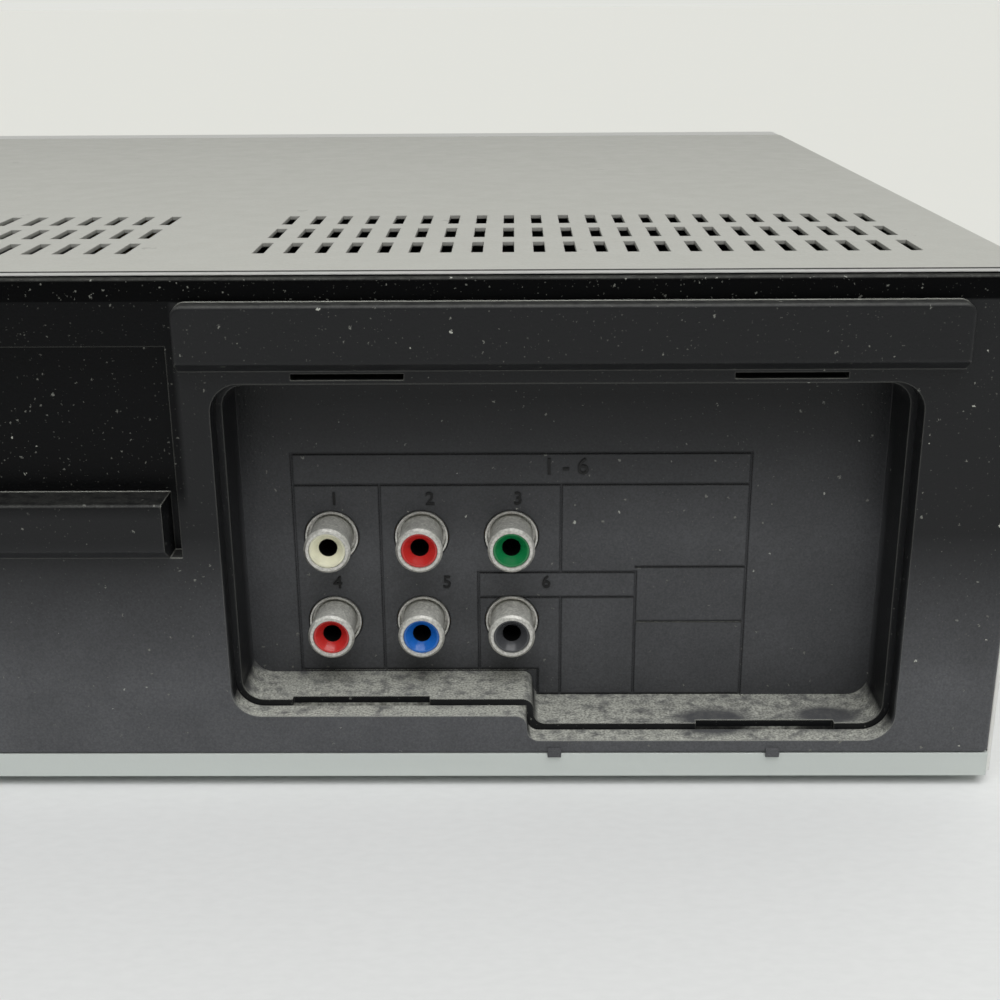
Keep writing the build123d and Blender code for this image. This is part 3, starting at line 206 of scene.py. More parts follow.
def mottled(made, size_mm, first, second, low=0.0, high=1.0, **more):
    """A colour that wanders between two in soft patches."""
    patches = cloud(made, size_mm, low, high, **more)
    return add(made, "Mix", {0: patches, 6: first, 7: second}, **COLOUR)


def specks(made, spacing_mm, share, shift_m=0.0):
    """Ragged flecks in that share of the cells of a grid, as 0 or 1 with a soft edge."""
    where = add(made, "TexCoord", {}, "Object")
    swirl = add(made, "TexNoise", {"Vector": where, "Scale": per(spacing_mm * 0.3)}, "Color")
    bend = [spacing_mm * 0.8 * MM] * 3
    bent = add(made, "VectorMath", {0: swirl, 1: bend, 2: where}, operation="MULTIPLY_ADD")
    moved = add(made, "VectorMath", {0: bent, 1: [shift_m] * 3}, operation="ADD")
    distance = add(made, "TexVoronoi", {"Vector": moved, "Scale": per(spacing_mm)})
    chosen = add(made, "SeparateColor", {0: distance.node.outputs["Color"]})
    size = add(made, "MapRange", {0: chosen, 1: 1.0 - share, 2: 1.0, 3: 0.0, 4: 0.24})
    gap = add(made, "Math", {0: size, 1: distance}, operation="SUBTRACT")
    return add(made, "MapRange", {0: gap, 1: 0.0, 2: 0.05})


def facing_up(made, low, high):
    """1 where the surface faces up, 0 where it is upright."""
    normal = add(made, "NewGeometry", {}, "Normal")
    upward = add(made, "SeparateXYZ", {0: normal}, "Z")
    return add(made, "MapRange", {0: upward, 1: low, 2: high})


def along(made, axis, start_mm, end_mm, low=0.0, high=1.0):
    """Goes from one value to another between two places along an axis of the case."""
    where = add(made, "TexCoord", {}, "Object")
    place = add(made, "SeparateXYZ", {0: where}, axis)
    return add(made, "MapRange", {0: place, 1: start_mm * MM, 2: end_mm * MM, 3: low, 4: high})


def spot(made, centre_mm, radius_mm, edge_mm, stretch):
    """1 inside a rounded patch round a point of the case, 0 outside."""
    where = add(made, "TexCoord", {}, "Object")
    centre = [c * MM for c in centre_mm]
    away = add(made, "VectorMath", {0: where, 1: centre}, operation="SUBTRACT")
    squeezed = add(made, "VectorMath", {0: away, 1: stretch}, operation="MULTIPLY")
    reach = add(made, "VectorMath", {0: squeezed}, operation="LENGTH")
    edge = {1: radius_mm * MM, 2: (radius_mm + edge_mm) * MM}
    return add(made, "MapRange", {0: reach, 3: 1.0, 4: 0.0, **edge})


def skin(made, height, depth_mm, round_mm):
    """Surface relief of that depth over edges softened by that radius."""
    rounding = add(made, "Bevel", {"Radius": round_mm * MM}, samples=4)
    return add(made, "Bump", {"Height": height, "Distance": depth_mm * MM, "Normal": rounding})


def edges(made, rounding):
    """1 along the edges that a rounding softens, 0 on the faces between them."""
    flat = add(made, "NewGeometry", {}, "Normal")
    match = add(made, "VectorMath", {0: rounding, 1: flat}, operation="DOT_PRODUCT")
    return add(made, "MapRange", {0: match, 1: 0.995, 2: 0.88})


def spray_enamel():
    """Silver enamel sprayed and baked on sheet steel: a soft sheen broken by fine orange peel."""
    case = bpy.context.scene.player_case
    made, shader = start("sprayed_enamel", case.enamel, 0.5, ior=1.45)
    broad = mottled(made, 40.0, shaded(case.enamel, 0.98), shaded(case.enamel, 1.01))
    fine = mottled(made, 0.5, shaded(case.enamel, 0.94), shaded(case.enamel, 1.05))
    colour = add(made, "Mix", {0: 0.6, 6: broad, 7: fine}, **COLOUR)
    # painted shade: the enamel is darkened towards the front, where the light falls off
    painted_falloff = along(made, "Y", -115.0, 120.0, 0.77, 1.0)
    colour = add(made, "Mix", {0: 1.0, 6: colour, 7: painted_falloff}, **COLOUR, blend_type="MULTIPLY")
    flecks = specks(made, 5.0, 0.03)
    colour = add(made, "Mix", {0: flecks, 6: colour, 7: shaded(case.enamel, 0.7)}, **COLOUR)
    # painted highlight on the sheet's rear edge, under a thin line of painted shade
    rear, top = [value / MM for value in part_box("top_cover")[1].yz]
    line = along(made, "Z", top - 0.26, top - 0.16)
    painted_rim_highlight = add(made, "Mix", {0: line, 6: linear("#F0F0EC"), 7: shaded(case.enamel, 0.12)}, **COLOUR)
    cut_edge = along(made, "Y", rear - 0.12, rear - 0.05)
    colour = add(made, "Mix", {0: cut_edge, 6: colour, 7: painted_rim_highlight}, **COLOUR)
    peel = skin(made, cloud(made, case.peel, 0.0, 1.0, detail=2.0), 0.03, 0.3)
    feed(made, shader, base_color=colour, roughness=cloud(made, 5.0, 0.45, 0.56), normal=peel)
    return made


def chassis_enamel():
    """Smooth silver enamel on rolled steel: even, with a satin sheen and faint rolling streaks."""
    case = bpy.context.scene.player_case
    made, shader = start("rolled_steel_enamel", case.strip, 0.36, metallic=0.2)
    rolling = (0.05, 1.0, 1.0)
    streaks = mottled(made, 6.0, shaded(case.strip, 0.97), shaded(case.strip, 1.02), stretch=rolling)
    feed(made, shader, base_color=streaks, normal=skin(made, cloud(made, 0.8, 0.0, 1.0), 0.01, 0.2))
    return made


def moulded_black_abs():
    """Black ABS moulded against an etched tool: leather grain, house dust on every ledge, painted shade in
    its recesses and painted highlights on its upward edges.
    """
    case = bpy.context.scene.player_case
    black, pale = case.plastic, case.dust
    made, shader = start("moulded_black_abs", black, 0.42, ior=1.5, specular_ior_level=0.26)

    # a grey film lightens the foot of the panel and the pockets' lower floors: dust and painted light from
    # the floor together; the pockets' tops are left darker, painted shade under their roofs
    sheltered, height = along(made, "Y", 110.0, 107.0, 0.0, 0.8), along(made, "Z", 68.0, 42.0)
    inside = add(made, "Math", {0: height, 1: sheltered}, **TIMES)
    panel_face, foot = along(made, "Y", 120.6, 121.4), along(made, "Z", 48.0, 20.0)
    outside = add(made, "Math", {0: foot, 1: panel_face}, **TIMES)
    film = add(made, "Math", {0: inside, 1: outside}, **MOST)
    for patches in (cloud(made, 11.0, 0.8, 1.0), cloud(made, 0.35, 0.66, 1.0, detail=4.0)):
        film = add(made, "Math", {0: film, 1: patches}, **TIMES)
    base = add(made, "Mix", {0: film, 6: shaded(black, 0.6), 7: case.film}, **COLOUR)

    # painted shade: the channel under the cover and the shallow bay are darkened to near black
    under_cover, behind_bar = along(made, "Z", 87.6, 88.0), along(made, "Y", 122.6, 122.2)
    channel = add(made, "Math", {0: under_cover, 1: behind_bar}, **TIMES)
    past_column, above_ledge = along(made, "X", -76.0, -75.0), along(made, "Z", 52.0, 56.0, 0.0, 0.75)
    bay = add(made, "Math", {0: past_column, 1: above_ledge}, **TIMES)
    painted_recess_shade = add(made, "Math", {0: channel, 1: bay}, **MOST)
    base = add(made, "Mix", {0: painted_recess_shade, 6: base, 7: shaded(black, 0.15)}, **COLOUR)

    # flecks of lint cling to the upright faces, thickest in the channel and the bay with their painted shade
    for lint, where, colour in (
        (specks(made, 0.9, 0.42, 1.7), painted_recess_shade, shaded(pale, 0.42)),
        (specks(made, 1.3, 0.16), 1.0, shaded(pale, 0.4)),
        (specks(made, 1.3, 0.025, 3.7), 1.0, pale),
        (specks(made, 0.55, 0.5, 5.3), cloud(made, 16.0, 0.1, 0.9), shaded(pale, 0.3)),
    ):
        clinging = add(made, "Math", {0: lint, 1: where}, **TIMES)
        base = add(made, "Mix", {0: clinging, 6: base, 7: colour}, **COLOUR)

    # dust lies thick in the foot of the pocket, and on the ledge's front step up to a thin dark line
    low_down, above_strip = along(made, "Z", 30.0, 26.0, 0.07, 1.0), along(made, "Z", 7.8, 8.4)
    pocket_foot = add(made, "Math", {0: low_down, 1: above_strip}, **TIMES)
    jack_side = along(made, "X", LEDGE_STEP_X, LEDGE_STEP_X + 0.4)
    step = along(made, "Z", LEDGE_Z - 0.1, LEDGE_Z - 0.2)
    step = add(made, "Math", {0: jack_side, 1: step}, **TIMES)
    low_step = along(made, "Z", LOW_LEDGE_Z - 0.1, LOW_LEDGE_Z - 0.2)
    step = add(made, "Math", {0: low_step, 1: step}, **MOST)
    for limit in (along(made, "Y", 108.0, 109.0), along(made, "Y", 121.2, 120.8)):
        step = add(made, "Math", {0: step, 1: limit}, **TIMES)
    upward = facing_up(made, 0.3, 0.8)
    lying = add(made, "Math", {0: upward, 1: step}, **MOST)
    for share in (cloud(made, 2.2, 0.2, 1.55, detail=8.0), pocket_foot):
        lying = add(made, "Math", {0: lying, 1: share}, **TIMES)

    # two patches of the blank ledge are wiped down to the film
    wiped = upward
    for share in (pocket_foot, 0.75):
        wiped = add(made, "Math", {0: wiped, 1: share}, **TIMES)
    base = add(made, "Mix", {0: wiped, 6: base, 7: case.film}, **COLOUR)
    for centre, radius in WIPED_PATCHES:
        patch = spot(made, centre, radius, 2.5, (0.72, 1.25, 1.0))
        rubbed = add(made, "Math", {0: patch, 1: cloud(made, 1.1, 0.85, 1.0)}, **TIMES)
        left = add(made, "Math", {0: 1.0, 1: rubbed}, operation="SUBTRACT", use_clamp=True)
        lying = add(made, "Math", {0: lying, 1: left}, **TIMES)
    fluff = mottled(made, 0.4, shaded(pale, 0.42), shaded(pale, 1.42), detail=5.0)
    dusty = add(made, "Mix", {0: lying, 6: base, 7: fluff}, **COLOUR)

    # painted highlights along the edges that face up, in the dust's colour; the fine ribs of the pocket's
    # frames get painted shade along their edges
    rounding = add(made, "Bevel", {"Radius": 0.35 * MM}, samples=4)
    turned_up = add(made, "SeparateXYZ", {0: rounding}, "Z")
    highlight_and_rib_shade = add(made, "MapRange", {0: turned_up, 1: 0.1, 2: 0.6, 3: 0.22, 4: 1.0})
    highlight_and_rib_shade = add(made, "Math", {0: highlight_and_rib_shade, 1: above_strip}, **TIMES)
    highlight_and_rib_shade = add(made, "Math", {0: highlight_and_rib_shade, 1: along(made, "Y", 107.5, 107.2, 0.0, 0.5)}, **MOST)
    painted_edges = add(made, "Math", {0: edges(made, rounding), 1: highlight_and_rib_shade}, **TIMES)
    rib = along(made, "Y", 107.5, 107.2)
    edge = add(made, "Mix", {0: rib, 6: shaded(pale, 0.9), 7: shaded(black, 0.4)}, **COLOUR)
    colour = add(made, "Mix", {0: painted_edges, 6: dusty, 7: edge}, **COLOUR)

    # dust is dull; the channel and the bay are turned metallic over their near-black, painted shade that
    # darkens their reflection
    rough = add(made, "MapRange", {0: lying, 1: 0.0, 2: 1.0, 3: 0.4, 4: 0.95})
    painted_dark_reflection = add(made, "Math", {0: painted_recess_shade, 1: 0.85}, **TIMES)
    # the grain is drawn at the tool's own cell size, shallow enough to keep the panel's sheen
    leather = {"Height": cloud(made, case.grain, 0.0, 1.0, detail=2.0), "Distance": 0.022 * MM}
    grain = add(made, "Bump", {"Normal": rounding, **leather})
    feed(made, shader, base_color=colour, roughness=rough, metallic=painted_dark_reflection, normal=grain)
    return made


def dulled_nickel():
    """Nickel plate on turned brass, dulled by age and dust: bright rims and grey, spotted tops."""
    nickel = bpy.context.scene.player_jacks.nickel
    made, shader = start("dulled_nickel_plate", nickel, 0.36, metallic=0.8)
    spotted = mottled(made, 0.45, nickel, shaded(nickel, 0.6), -0.2, 0.9, detail=4.0)
    uneven = cloud(made, 0.7, 0.5, 1.1, detail=5.0)
    lying = add(made, "Math", {0: facing_up(made, -0.1, 0.6), 1: uneven}, **TIMES)
    grey = mottled(made, 0.5, linear("#B4B4AD"), linear("#F2F2EA"), detail=5.0)
    dusty = add(made, "Mix", {0: lying, 6: spotted, 7: grey}, **COLOUR)
    bared = add(made, "MapRange", {0: lying, 1: 0.0, 2: 1.0, 3: 0.8, 4: 0.0})
    fine = skin(made, cloud(made, 0.3, 0.0, 1.0), 0.008, 0.12)
    feed(made, shader, base_color=dusty, metallic=bared, roughness=cloud(made, 0.8, 0.3, 0.5), normal=fine)
    return made


def moulded_pbt(name, colour, roughness=0.22):
    """PBT moulded in a polished tool: glossy and opaque, a little uneven in colour."""
    made, shader = start(name, colour, roughness, ior=1.55)
    uneven = mottled(made, 1.6, shaded(colour, 0.92), shaded(colour, 1.06))
    feed(made, shader, base_color=uneven, normal=skin(made, cloud(made, 0.9, 0.0, 1.0), 0.008, 0.1))
    return made


def lacquered_abs():
    """ABS painted with metallic lacquer: flakes in the paint give a fine sparkle."""
    colour = linear("#B2B2B0")
    made, shader = start("metallic_lacquer_on_abs", colour, 0.38, metallic=0.35, ior=1.5)
    flakes = cloud(made, 0.35, 0.0, 1.0, detail=1.0)
    sparkle = add(made, "Mix", {0: flakes, 6: shaded(colour, 0.93), 7: shaded(colour, 1.06)}, **COLOUR)
    feed(made, shader, base_color=sparkle, normal=skin(made, flakes, 0.006, 0.3))
    return made


def moulded_plastic(name, code, roughness=0.45, depth_mm=0.02):
    """Plastic moulded in a spark-eroded tool: a fine even matt skin."""
    colour = linear(code)
    made, shader = start(name, colour, roughness, ior=1.5)
    uneven = mottled(made, 14.0, shaded(colour, 0.94), shaded(colour, 1.05))
    feed(made, shader, base_color=uneven, normal=skin(made, cloud(made, 0.5, 0.0, 1.0), depth_mm, 0.2))
    return made


def polished_abs():
    """ABS moulded in a mirror-polished tool: deep black gloss with faint fingertip haze."""
    made, shader = start("polished_black_abs", linear("#15161A"), 0.12, ior=1.53, coat_weight=0.4)
    soft = skin(made, cloud(made, 3.0, 0.0, 1.0), 0.004, 0.15)
    feed(made, shader, roughness=cloud(made, 7.0, 0.08, 0.24), normal=soft)
    return made


def smoked_acrylic():
    """Smoked acrylic sheet, cast and polished: dark glass that shows the display faintly."""
    made, shader = start("smoked_acrylic", linear("#2B2F36"), 0.05, ior=1.49, transmission_weight=0.75)
    cast = mottled(made, 30.0, linear("#262A31"), linear("#30353D"))
    feed(made, shader, roughness=cloud(made, 9.0, 0.03, 0.09), base_color=cast)
    return made


def zinc_plated_steel():
    """Zinc-plated sheet steel, pressed: cool grey with fine rolling lines and cloudy passivation."""
    colour = linear("#AEB3B7")
    made, shader = start("zinc_plated_steel", colour, 0.34, metallic=1.0)
    clouded = mottled(made, 12.0, shaded(colour, 0.84), shaded(colour, 1.06))
    rolled = skin(made, cloud(made, 0.6, 0.0, 1.0, stretch=(0.04, 1.0, 1.0)), 0.012, 0.15)
    feed(made, shader, base_color=clouded, roughness=cloud(made, 4.0, 0.26, 0.46), normal=rolled)
    return made


def ground_steel():
    """Hardened steel, centreless ground: bright, with fine rings round the bar."""
    made, shader = start("ground_steel", linear("#C9CBCE"), 0.18, metallic=1.0)
    rings = cloud(made, 0.25, 0.0, 1.0, stretch=(0.3, 0.3, 1.0))
    fine = add(made, "Bump", {"Height": rings, "Distance": 0.004 * MM})
    feed(made, shader, roughness=cloud(made, 2.0, 0.12, 0.26), normal=fine)
    return made


def turned_aluminium():
    """Aluminium, diamond turned: a bright face with close turning lines round the drum."""
    made, shader = start("turned_aluminium", linear("#C6C8CA"), 0.2, metallic=1.0)
    lines = cloud(made, 0.3, 0.0, 1.0, detail=1.0, stretch=(0.05, 0.05, 1.0))
    feed(made, shader, roughness=cloud(made, 3.0, 0.16, 0.3), normal=skin(made, lines, 0.006, 0.15))
    return made


def moulded_rubber():
    """Black rubber, compression moulded: matt, with a faint bloom."""
    colour = linear("#1C1C1E")
    made, shader = start("moulded_rubber", colour, 0.8, ior=1.52)
    bloom = mottled(made, 5.0, colour, shaded(colour, 1.8))
    feed(made, shader, base_color=bloom, normal=skin(made, cloud(made, 0.3, 0.0, 1.0), 0.02, 0.2))
    return made


def laminate(name, code, track_code):
    """Circuit board laminate with its copper pattern showing under the lacquer."""
    colour = linear(code)
    made, shader = start(name, colour, 0.35, ior=1.5)
    pattern = {"Vector": add(made, "TexCoord", {}, "Object"), "Scale": per(4.0)}
    cells = add(made, "TexVoronoi", pattern, distance="MANHATTAN", feature="F2")
    paths = add(made, "MapRange", {0: cells, 1: 0.72, 2: 0.78})
    copper = add(made, "Mix", {0: paths, 6: colour, 7: linear(track_code)}, **COLOUR)
    raised = add(made, "Bump", {"Height": paths, "Distance": 0.03 * MM})
    feed(made, shader, base_color=copper, normal=raised)
    return made


def display_glass():
    """Soda glass tube with a dark getter film: clear gloss over grey."""
    made, shader = start("display_glass", linear("#39434A"), 0.06, ior=1.52, transmission_weight=0.3)
    feed(made, shader, base_color=mottled(made, 10.0, linear("#2E373D"), linear("#47535B")))
    return made


def finish(material, *nodes):
    """Gives CAD nodes one material."""
    for name in nodes:
        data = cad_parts[name].data
        data.materials.clear()
        data.materials.append(material)


def finish_faces(name, material, inside):
    """Gives one CAD node's faces a second material where their middle, in millimetres, passes the test."""
    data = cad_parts[name].data
    data.materials.append(material)
    for face in data.polygons:
        if inside(*(face.center / MM)):
            face.material_index = len(data.materials) - 1


# ---- small parts ----

# height of a figure over the font's size
FIGURE_SHARE = 0.69
FIGURE_BEVEL_MM = 0.05
# a thread's ridge: half its foot's width over the pitch, its depth in the bar, and the steps it fades in
RIDGE_HALF = 0.36
RIDGE_SUNK_MM = 0.04
FADE_STEPS = 6


def piece(name, mesh, material, body):
    """Adds a flat-shaded object of that mesh, riding on a body."""
    made = bpy.data.objects.new(name, mesh)
    bpy.context.scene.collection.objects.link(made)
    mesh.materials.append(material)
    for face in mesh.polygons:
        face.use_smooth = False
    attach(made, body)


def figures(text, height_mm, depth_mm):
    """Raised figures as a mesh, centred on their origin, facing +Z."""
    curve = bpy.data.curves.new("figures", "FONT")
    curve.body = text
    curve.size = height_mm * MM / FIGURE_SHARE
    curve.align_x = "CENTER"
    curve.align_y = "CENTER"
    curve.extrude = depth_mm * MM
    curve.bevel_depth = FIGURE_BEVEL_MM * MM
    curve.resolution_u = 3
    holder = bpy.data.objects.new("figures", curve)
    bpy.context.scene.collection.objects.link(holder)
    bpy.context.view_layer.update()
    drawn = holder.evaluated_get(bpy.context.evaluated_depsgraph_get())
    mesh = bpy.data.meshes.new_from_object(drawn)
    bpy.data.objects.remove(holder)
    bpy.data.curves.remove(curve)
    return mesh


def joined(meshes):
    """Several meshes as one."""
    pool = bmesh.new()
    for mesh in meshes:
        pool.from_mesh(mesh)
        bpy.data.meshes.remove(mesh)
    whole = bpy.data.meshes.new("joined")
    pool.to_mesh(whole)
    pool.free()
    return whole


# turns from a mesh's own plane to the back and to the front of the case
FACE_BACK = Matrix(((-1, 0, 0, 0), (0, 0, 1, 0), (0, 1, 0, 0), (0, 0, 0, 1)))
FACE_FRONT = Matrix(((1, 0, 0, 0), (0, 0, -1, 0), (0, 1, 0, 0), (0, 0, 0, 1)))


def set_on(mesh, x, y, z, facing):
    """Moves a mesh from its own plane to a place on the case, in millimetres."""
    mesh.transform(Matrix.Translation(Vector((x, y, z)) * MM) @ facing)
    return mesh


def plate(points, thick_mm):
    """A flat plate of that outline, in millimetres, facing +Z."""
    pool = bmesh.new()
    corners = [pool.verts.new((x * MM, y * MM, 0.0)) for x, y in points]
    face = pool.faces.new(corners)
    grown = bmesh.ops.extrude_face_region(pool, geom=[face])
    top = [item for item in grown["geom"] if isinstance(item, bmesh.types.BMVert)]
    bmesh.ops.translate(pool, verts=top, vec=(0.0, 0.0, thick_mm * MM))
    bmesh.ops.recalc_face_normals(pool, faces=pool.faces)
    mesh = bpy.data.meshes.new("plate")
    pool.to_mesh(mesh)
    pool.free()
    return mesh


def ring_points(radius, count=28):
    """Outline of a disc, in millimetres."""
    turns = [2 * math.pi * k / count for k in range(count)]
    return [(radius * math.cos(turn), radius * math.sin(turn)) for turn in turns]


def helix(centre, radius_mm, ridge_mm, pitch_mm, length_mm, sides=36):
    """A thread's ridge round a bar along +Y, with a triangular section."""
    pool = bmesh.new()
    turns = length_mm / pitch_mm - 0.5
    steps = int(turns * sides)
    rows = []
    for step in range(steps + 1):
        angle = 2 * math.pi * step / sides
        advance = pitch_mm * step / sides + pitch_mm * 0.25
        fade = min(1.0, step / FADE_STEPS, (steps - step) / FADE_STEPS)
        row = []
        for out, side in ((0.0, -RIDGE_HALF), (ridge_mm * fade, 0.0), (0.0, RIDGE_HALF)):
            r = radius_mm + out - RIDGE_SUNK_MM
            corner = (r * math.cos(angle), advance + side * pitch_mm, r * math.sin(angle))
            row.append(pool.verts.new((Vector(centre) + Vector(corner)) * MM))
        rows.append(row)
    for near, far in zip(rows, rows[1:]):
        for k in range(3):
            pool.faces.new((near[k], near[(k + 1) % 3], far[(k + 1) % 3], far[k]))
    pool.faces.new(rows[0])
    pool.faces.new(reversed(rows[-1]))
    bmesh.ops.recalc_face_normals(pool, faces=pool.faces)
    mesh = bpy.data.meshes.new("helix")
    pool.to_mesh(mesh)
    pool.free()
    return mesh


def middle(node):
    """Middle of a CAD node's box, in millimetres."""
    low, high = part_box(node)
    return [(a + b) / 2 / MM for a, b in zip(low, high)]


# ---- operators ----


class CaseFinish(bpy.types.Operator):
    """Finishes the cover, the chassis, the feet and the cover's screws"""
    bl_idname = "player.case_finish"
    bl_label = "Case"

    def execute(self, context):
        finish(spray_enamel(), "top_cover")
        finish(chassis_enamel(), "bottom_chassis")
        finish(moulded_rubber(), "feet")
        finish(zinc_plated_steel(), "cover_screws")
        return {"FINISHED"}


class BackFinish(bpy.types.Operator):
    """Finishes the rear panel, the jack panels and the mains inlet"""
    bl_idname = "player.back_finish"
    bl_label = "Rear panels"

    def execute(self, context):
        finish(moulded_black_abs(), "rear_panel", "dvd_jack_panel", "vcr_jack_panel", "mains_inlet")
        finish(zinc_plated_steel(), "tuner_module")
        # the inlet's two pins are metal, from the back of its cup
        x, _, z = middle("mains_inlet")
        pin_radius, pin_from_middle, cup_depth = 1.4, 4.3, 19.0
        cup_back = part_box("rear_panel")[1].y / MM - cup_depth

        def on_pin(u, v, w):
            return v > cup_back and math.hypot(abs(u - x) - pin_from_middle, w - z) < pin_radius

        finish_faces("mains_inlet", dulled_nickel(), on_pin)
        return {"FINISHED"}


class JackFinish(bpy.types.Operator):
    """Finishes the jacks' metal sleeves and their coloured insulators"""
    bl_idname = "player.jack_finish"
    bl_label = "Jacks"

    def execute(self, context):
        jacks = context.scene.player_jacks
        finish(dulled_nickel(), "jack_shells", "aerial_sockets")
        hole_shade = moulded_pbt("moulded_pbt_painted_hole_shade", linear("#0B0B0C"), roughness=0.5)
        # painted shade: each contact hole is painted near-black from its mouth inwards, on the rear and on
        # the front
        mouth = 1.6
        for node, colour in (
            ("white", jacks.cream), ("red", jacks.red), ("green", jacks.green),
            ("blue", jacks.blue), ("black", jacks.black), ("yellow", jacks.yellow),
        ):
            name = f"jack_insulators_{node}"
            finish(moulded_pbt(f"moulded_pbt_{node}", colour), name)
            low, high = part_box(name)
            front_mouth, rear_mouth = min(0.0, low.y / MM + mouth), high.y / MM - mouth
            finish_faces(name, hole_shade, lambda u, v, w: front_mouth < v < rear_mouth)
        return {"FINISHED"}


class AerialThreads(bpy.types.Operator):
    """Puts the threads on the two aerial sockets"""
    bl_idname = "player.aerial_threads"
    bl_label = "Aerial threads"

    def execute(self, context):
        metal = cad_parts["aerial_sockets"].data.materials[0]
        low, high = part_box("aerial_sockets")
        x = (low.x + high.x) / 2 / MM
        flange_y, heights = 123.0, (34.0, 58.0)
        for number, z in enumerate(heights):
            mesh = helix((x, flange_y, z), radius_mm=4.7, ridge_mm=0.25, pitch_mm=0.79, length_mm=1.9)
            piece(f"aerial_thread_{number}", mesh, metal, "case")
        return {"FINISHED"}


class JackNumbers(bpy.types.Operator):
    """Moulds a plain number beside each jack of the disc player"""
    bl_idname = "player.jack_numbers"
    bl_label = "Jack numbers"

    def execute(self, context):
        # black on black: only their sides and a little less dust set the figures off from the panel
        plastic = moulded_plastic("moulded_black_figures", "#0B0B0C", roughness=0.6)
        floor_y, proud = 106.6, 0.1
        # text, x, z and height
        marks = [("1 - 6", -139.4, 55.0, 3.0)]
        for first, z, places in ((1, 49.1, (-98.1, -115.2, -130.9)), (4, 33.0, (-98.1, -118.0, -136.0))):
            marks += [(str(first + k), x, z, 2.3) for k, x in enumerate(places)]
        meshes = []
        for text, x, z, tall in marks:
            meshes.append(set_on(figures(text, tall, proud), x, floor_y + proud, z, FACE_BACK))
        piece("jack_numbers", joined(meshes), plastic, "case")
        return {"FINISHED"}


class FrontFinish(bpy.types.Operator):
    """Finishes the bezel, the cassette flap, the tray's front, the window and the keys"""
    bl_idname = "player.front_finish"
    bl_label = "Front"

    def execute(self, context):
        finish(lacquered_abs(), "front_bezel", "cassette_door", "tray_front")
        finish(smoked_acrylic(), "display_window")
        finish(display_glass(), "display_module")
        keys = [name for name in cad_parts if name.endswith("_button")]
        finish(polished_abs(), *keys)
        return {"FINISHED"}


class KeySigns(bpy.types.Operator):
    """Prints the plain transport signs on the keys"""
    bl_idname = "player.key_signs"
    bl_label = "Key signs"

    def execute(self, context):
        ink = moulded_plastic("pad_printed_ink", "#D8DADC", roughness=0.5, depth_mm=0.004)
        right = [(-1.0, -1.3), (1.3, 0.0), (-1.0, 1.3)]
        left = [(1.0, 1.3), (-1.3, 0.0), (1.0, -1.3)]
        square = [(-1.2, -1.2), (1.2, -1.2), (1.2, 1.2), (-1.2, 1.2)]
        peak = [(-1.6, -0.4), (1.6, -0.4), (0.0, 1.4)]
        foot = [(-1.6, -1.4), (1.6, -1.4), (1.6, -0.8), (-1.6, -0.8)]
        stroke = [(-0.3, 0.4), (0.3, 0.4), (0.3, 2.8), (-0.3, 2.8)]

        def doubled(sign):
            return [[(x + shift, y) for x, y in sign] for shift in (-1.3, 1.3)]

        signs = {
            "play_button": [right],
            "stop_button": [square],
            "record_button": [ring_points(1.3)],
            "rewind_button": doubled(left),
            "forward_button": doubled(right),
            "tray_button": [peak, foot],
            "eject_button": [peak, foot],
            "power_button": [stroke],
        }
        thick, sunk = 0.03, 0.02
        for node, outlines in signs.items():
            x, _, z = middle(node)
            place = (x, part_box(node)[0].y / MM + sunk, z)
            meshes = [set_on(plate(points, thick), *place, FACE_FRONT) for points in outlines]
            piece(f"sign_{node}", joined(meshes), ink, node)
        return {"FINISHED"}


class DisplayDigits(bpy.types.Operator):
    """Sets the unlit clock segments in the display tube"""
    bl_idname = "player.display_digits"
    bl_label = "Display segments"

    def execute(self, context):
        phosphor = moulded_plastic("zinc_oxide_phosphor", "#7FA59B", roughness=0.7, depth_mm=0.004)
        x, _, z = middle("display_module")
        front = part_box("display_module")[0].y / MM
        wide, tall, half, gap = 4.6, 9.0, 0.45, 0.7
        thick, proud = 0.05, 0.02
        bars = []
        level = [(0, side) for side in (1, 0, -1)]
        upright = [(side, high) for side in (-1, 1) for high in (-0.5, 0.5)]
        for across in (-30.0, -20.0, -6.0, 4.0, 18.0, 28.0):
            for sx, sz in level + upright:
                a, b = (wide / 2 - gap, half) if sx == 0 else (half, tall / 4 - gap)
                cx, cz = across + sx * wide / 2, sz * tall / 2
                points = [(cx - a, cz - b), (cx + a, cz - b), (cx + a, cz + b), (cx - a, cz + b)]
                bars.append(set_on(plate(points, thick), x, front - proud, z, FACE_FRONT))
        piece("display_segments", joined(bars), phosphor, "case")
        return {"FINISHED"}


class LoaderFinish(bpy.types.Operator):
    """Finishes the disc tray, its drive and the swinging traverse"""
    bl_idname = "player.loader_finish"
    bl_label = "Disc loader"

    def execute(self, context):
        finish(moulded_plastic("moulded_grey_abs", "#5C6065"), "disc_tray", "loader_frame", "traverse_frame")
        acetal = moulded_plastic("moulded_acetal", "#DFE0DA", roughness=0.3)
        finish(acetal, "tray_gear", "motor_pulley", "disc_clamp")
        finish(moulded_plastic("moulded_black_pbt", "#1E1F22", roughness=0.35), "turntable", "pickup_sled")
        finish(zinc_plated_steel(), "tray_motor", "clamp_bridge", "disc_motor")
        finish(ground_steel(), "guide_rods")
        finish(moulded_rubber(), "tray_belt")
        return {"FINISHED"}


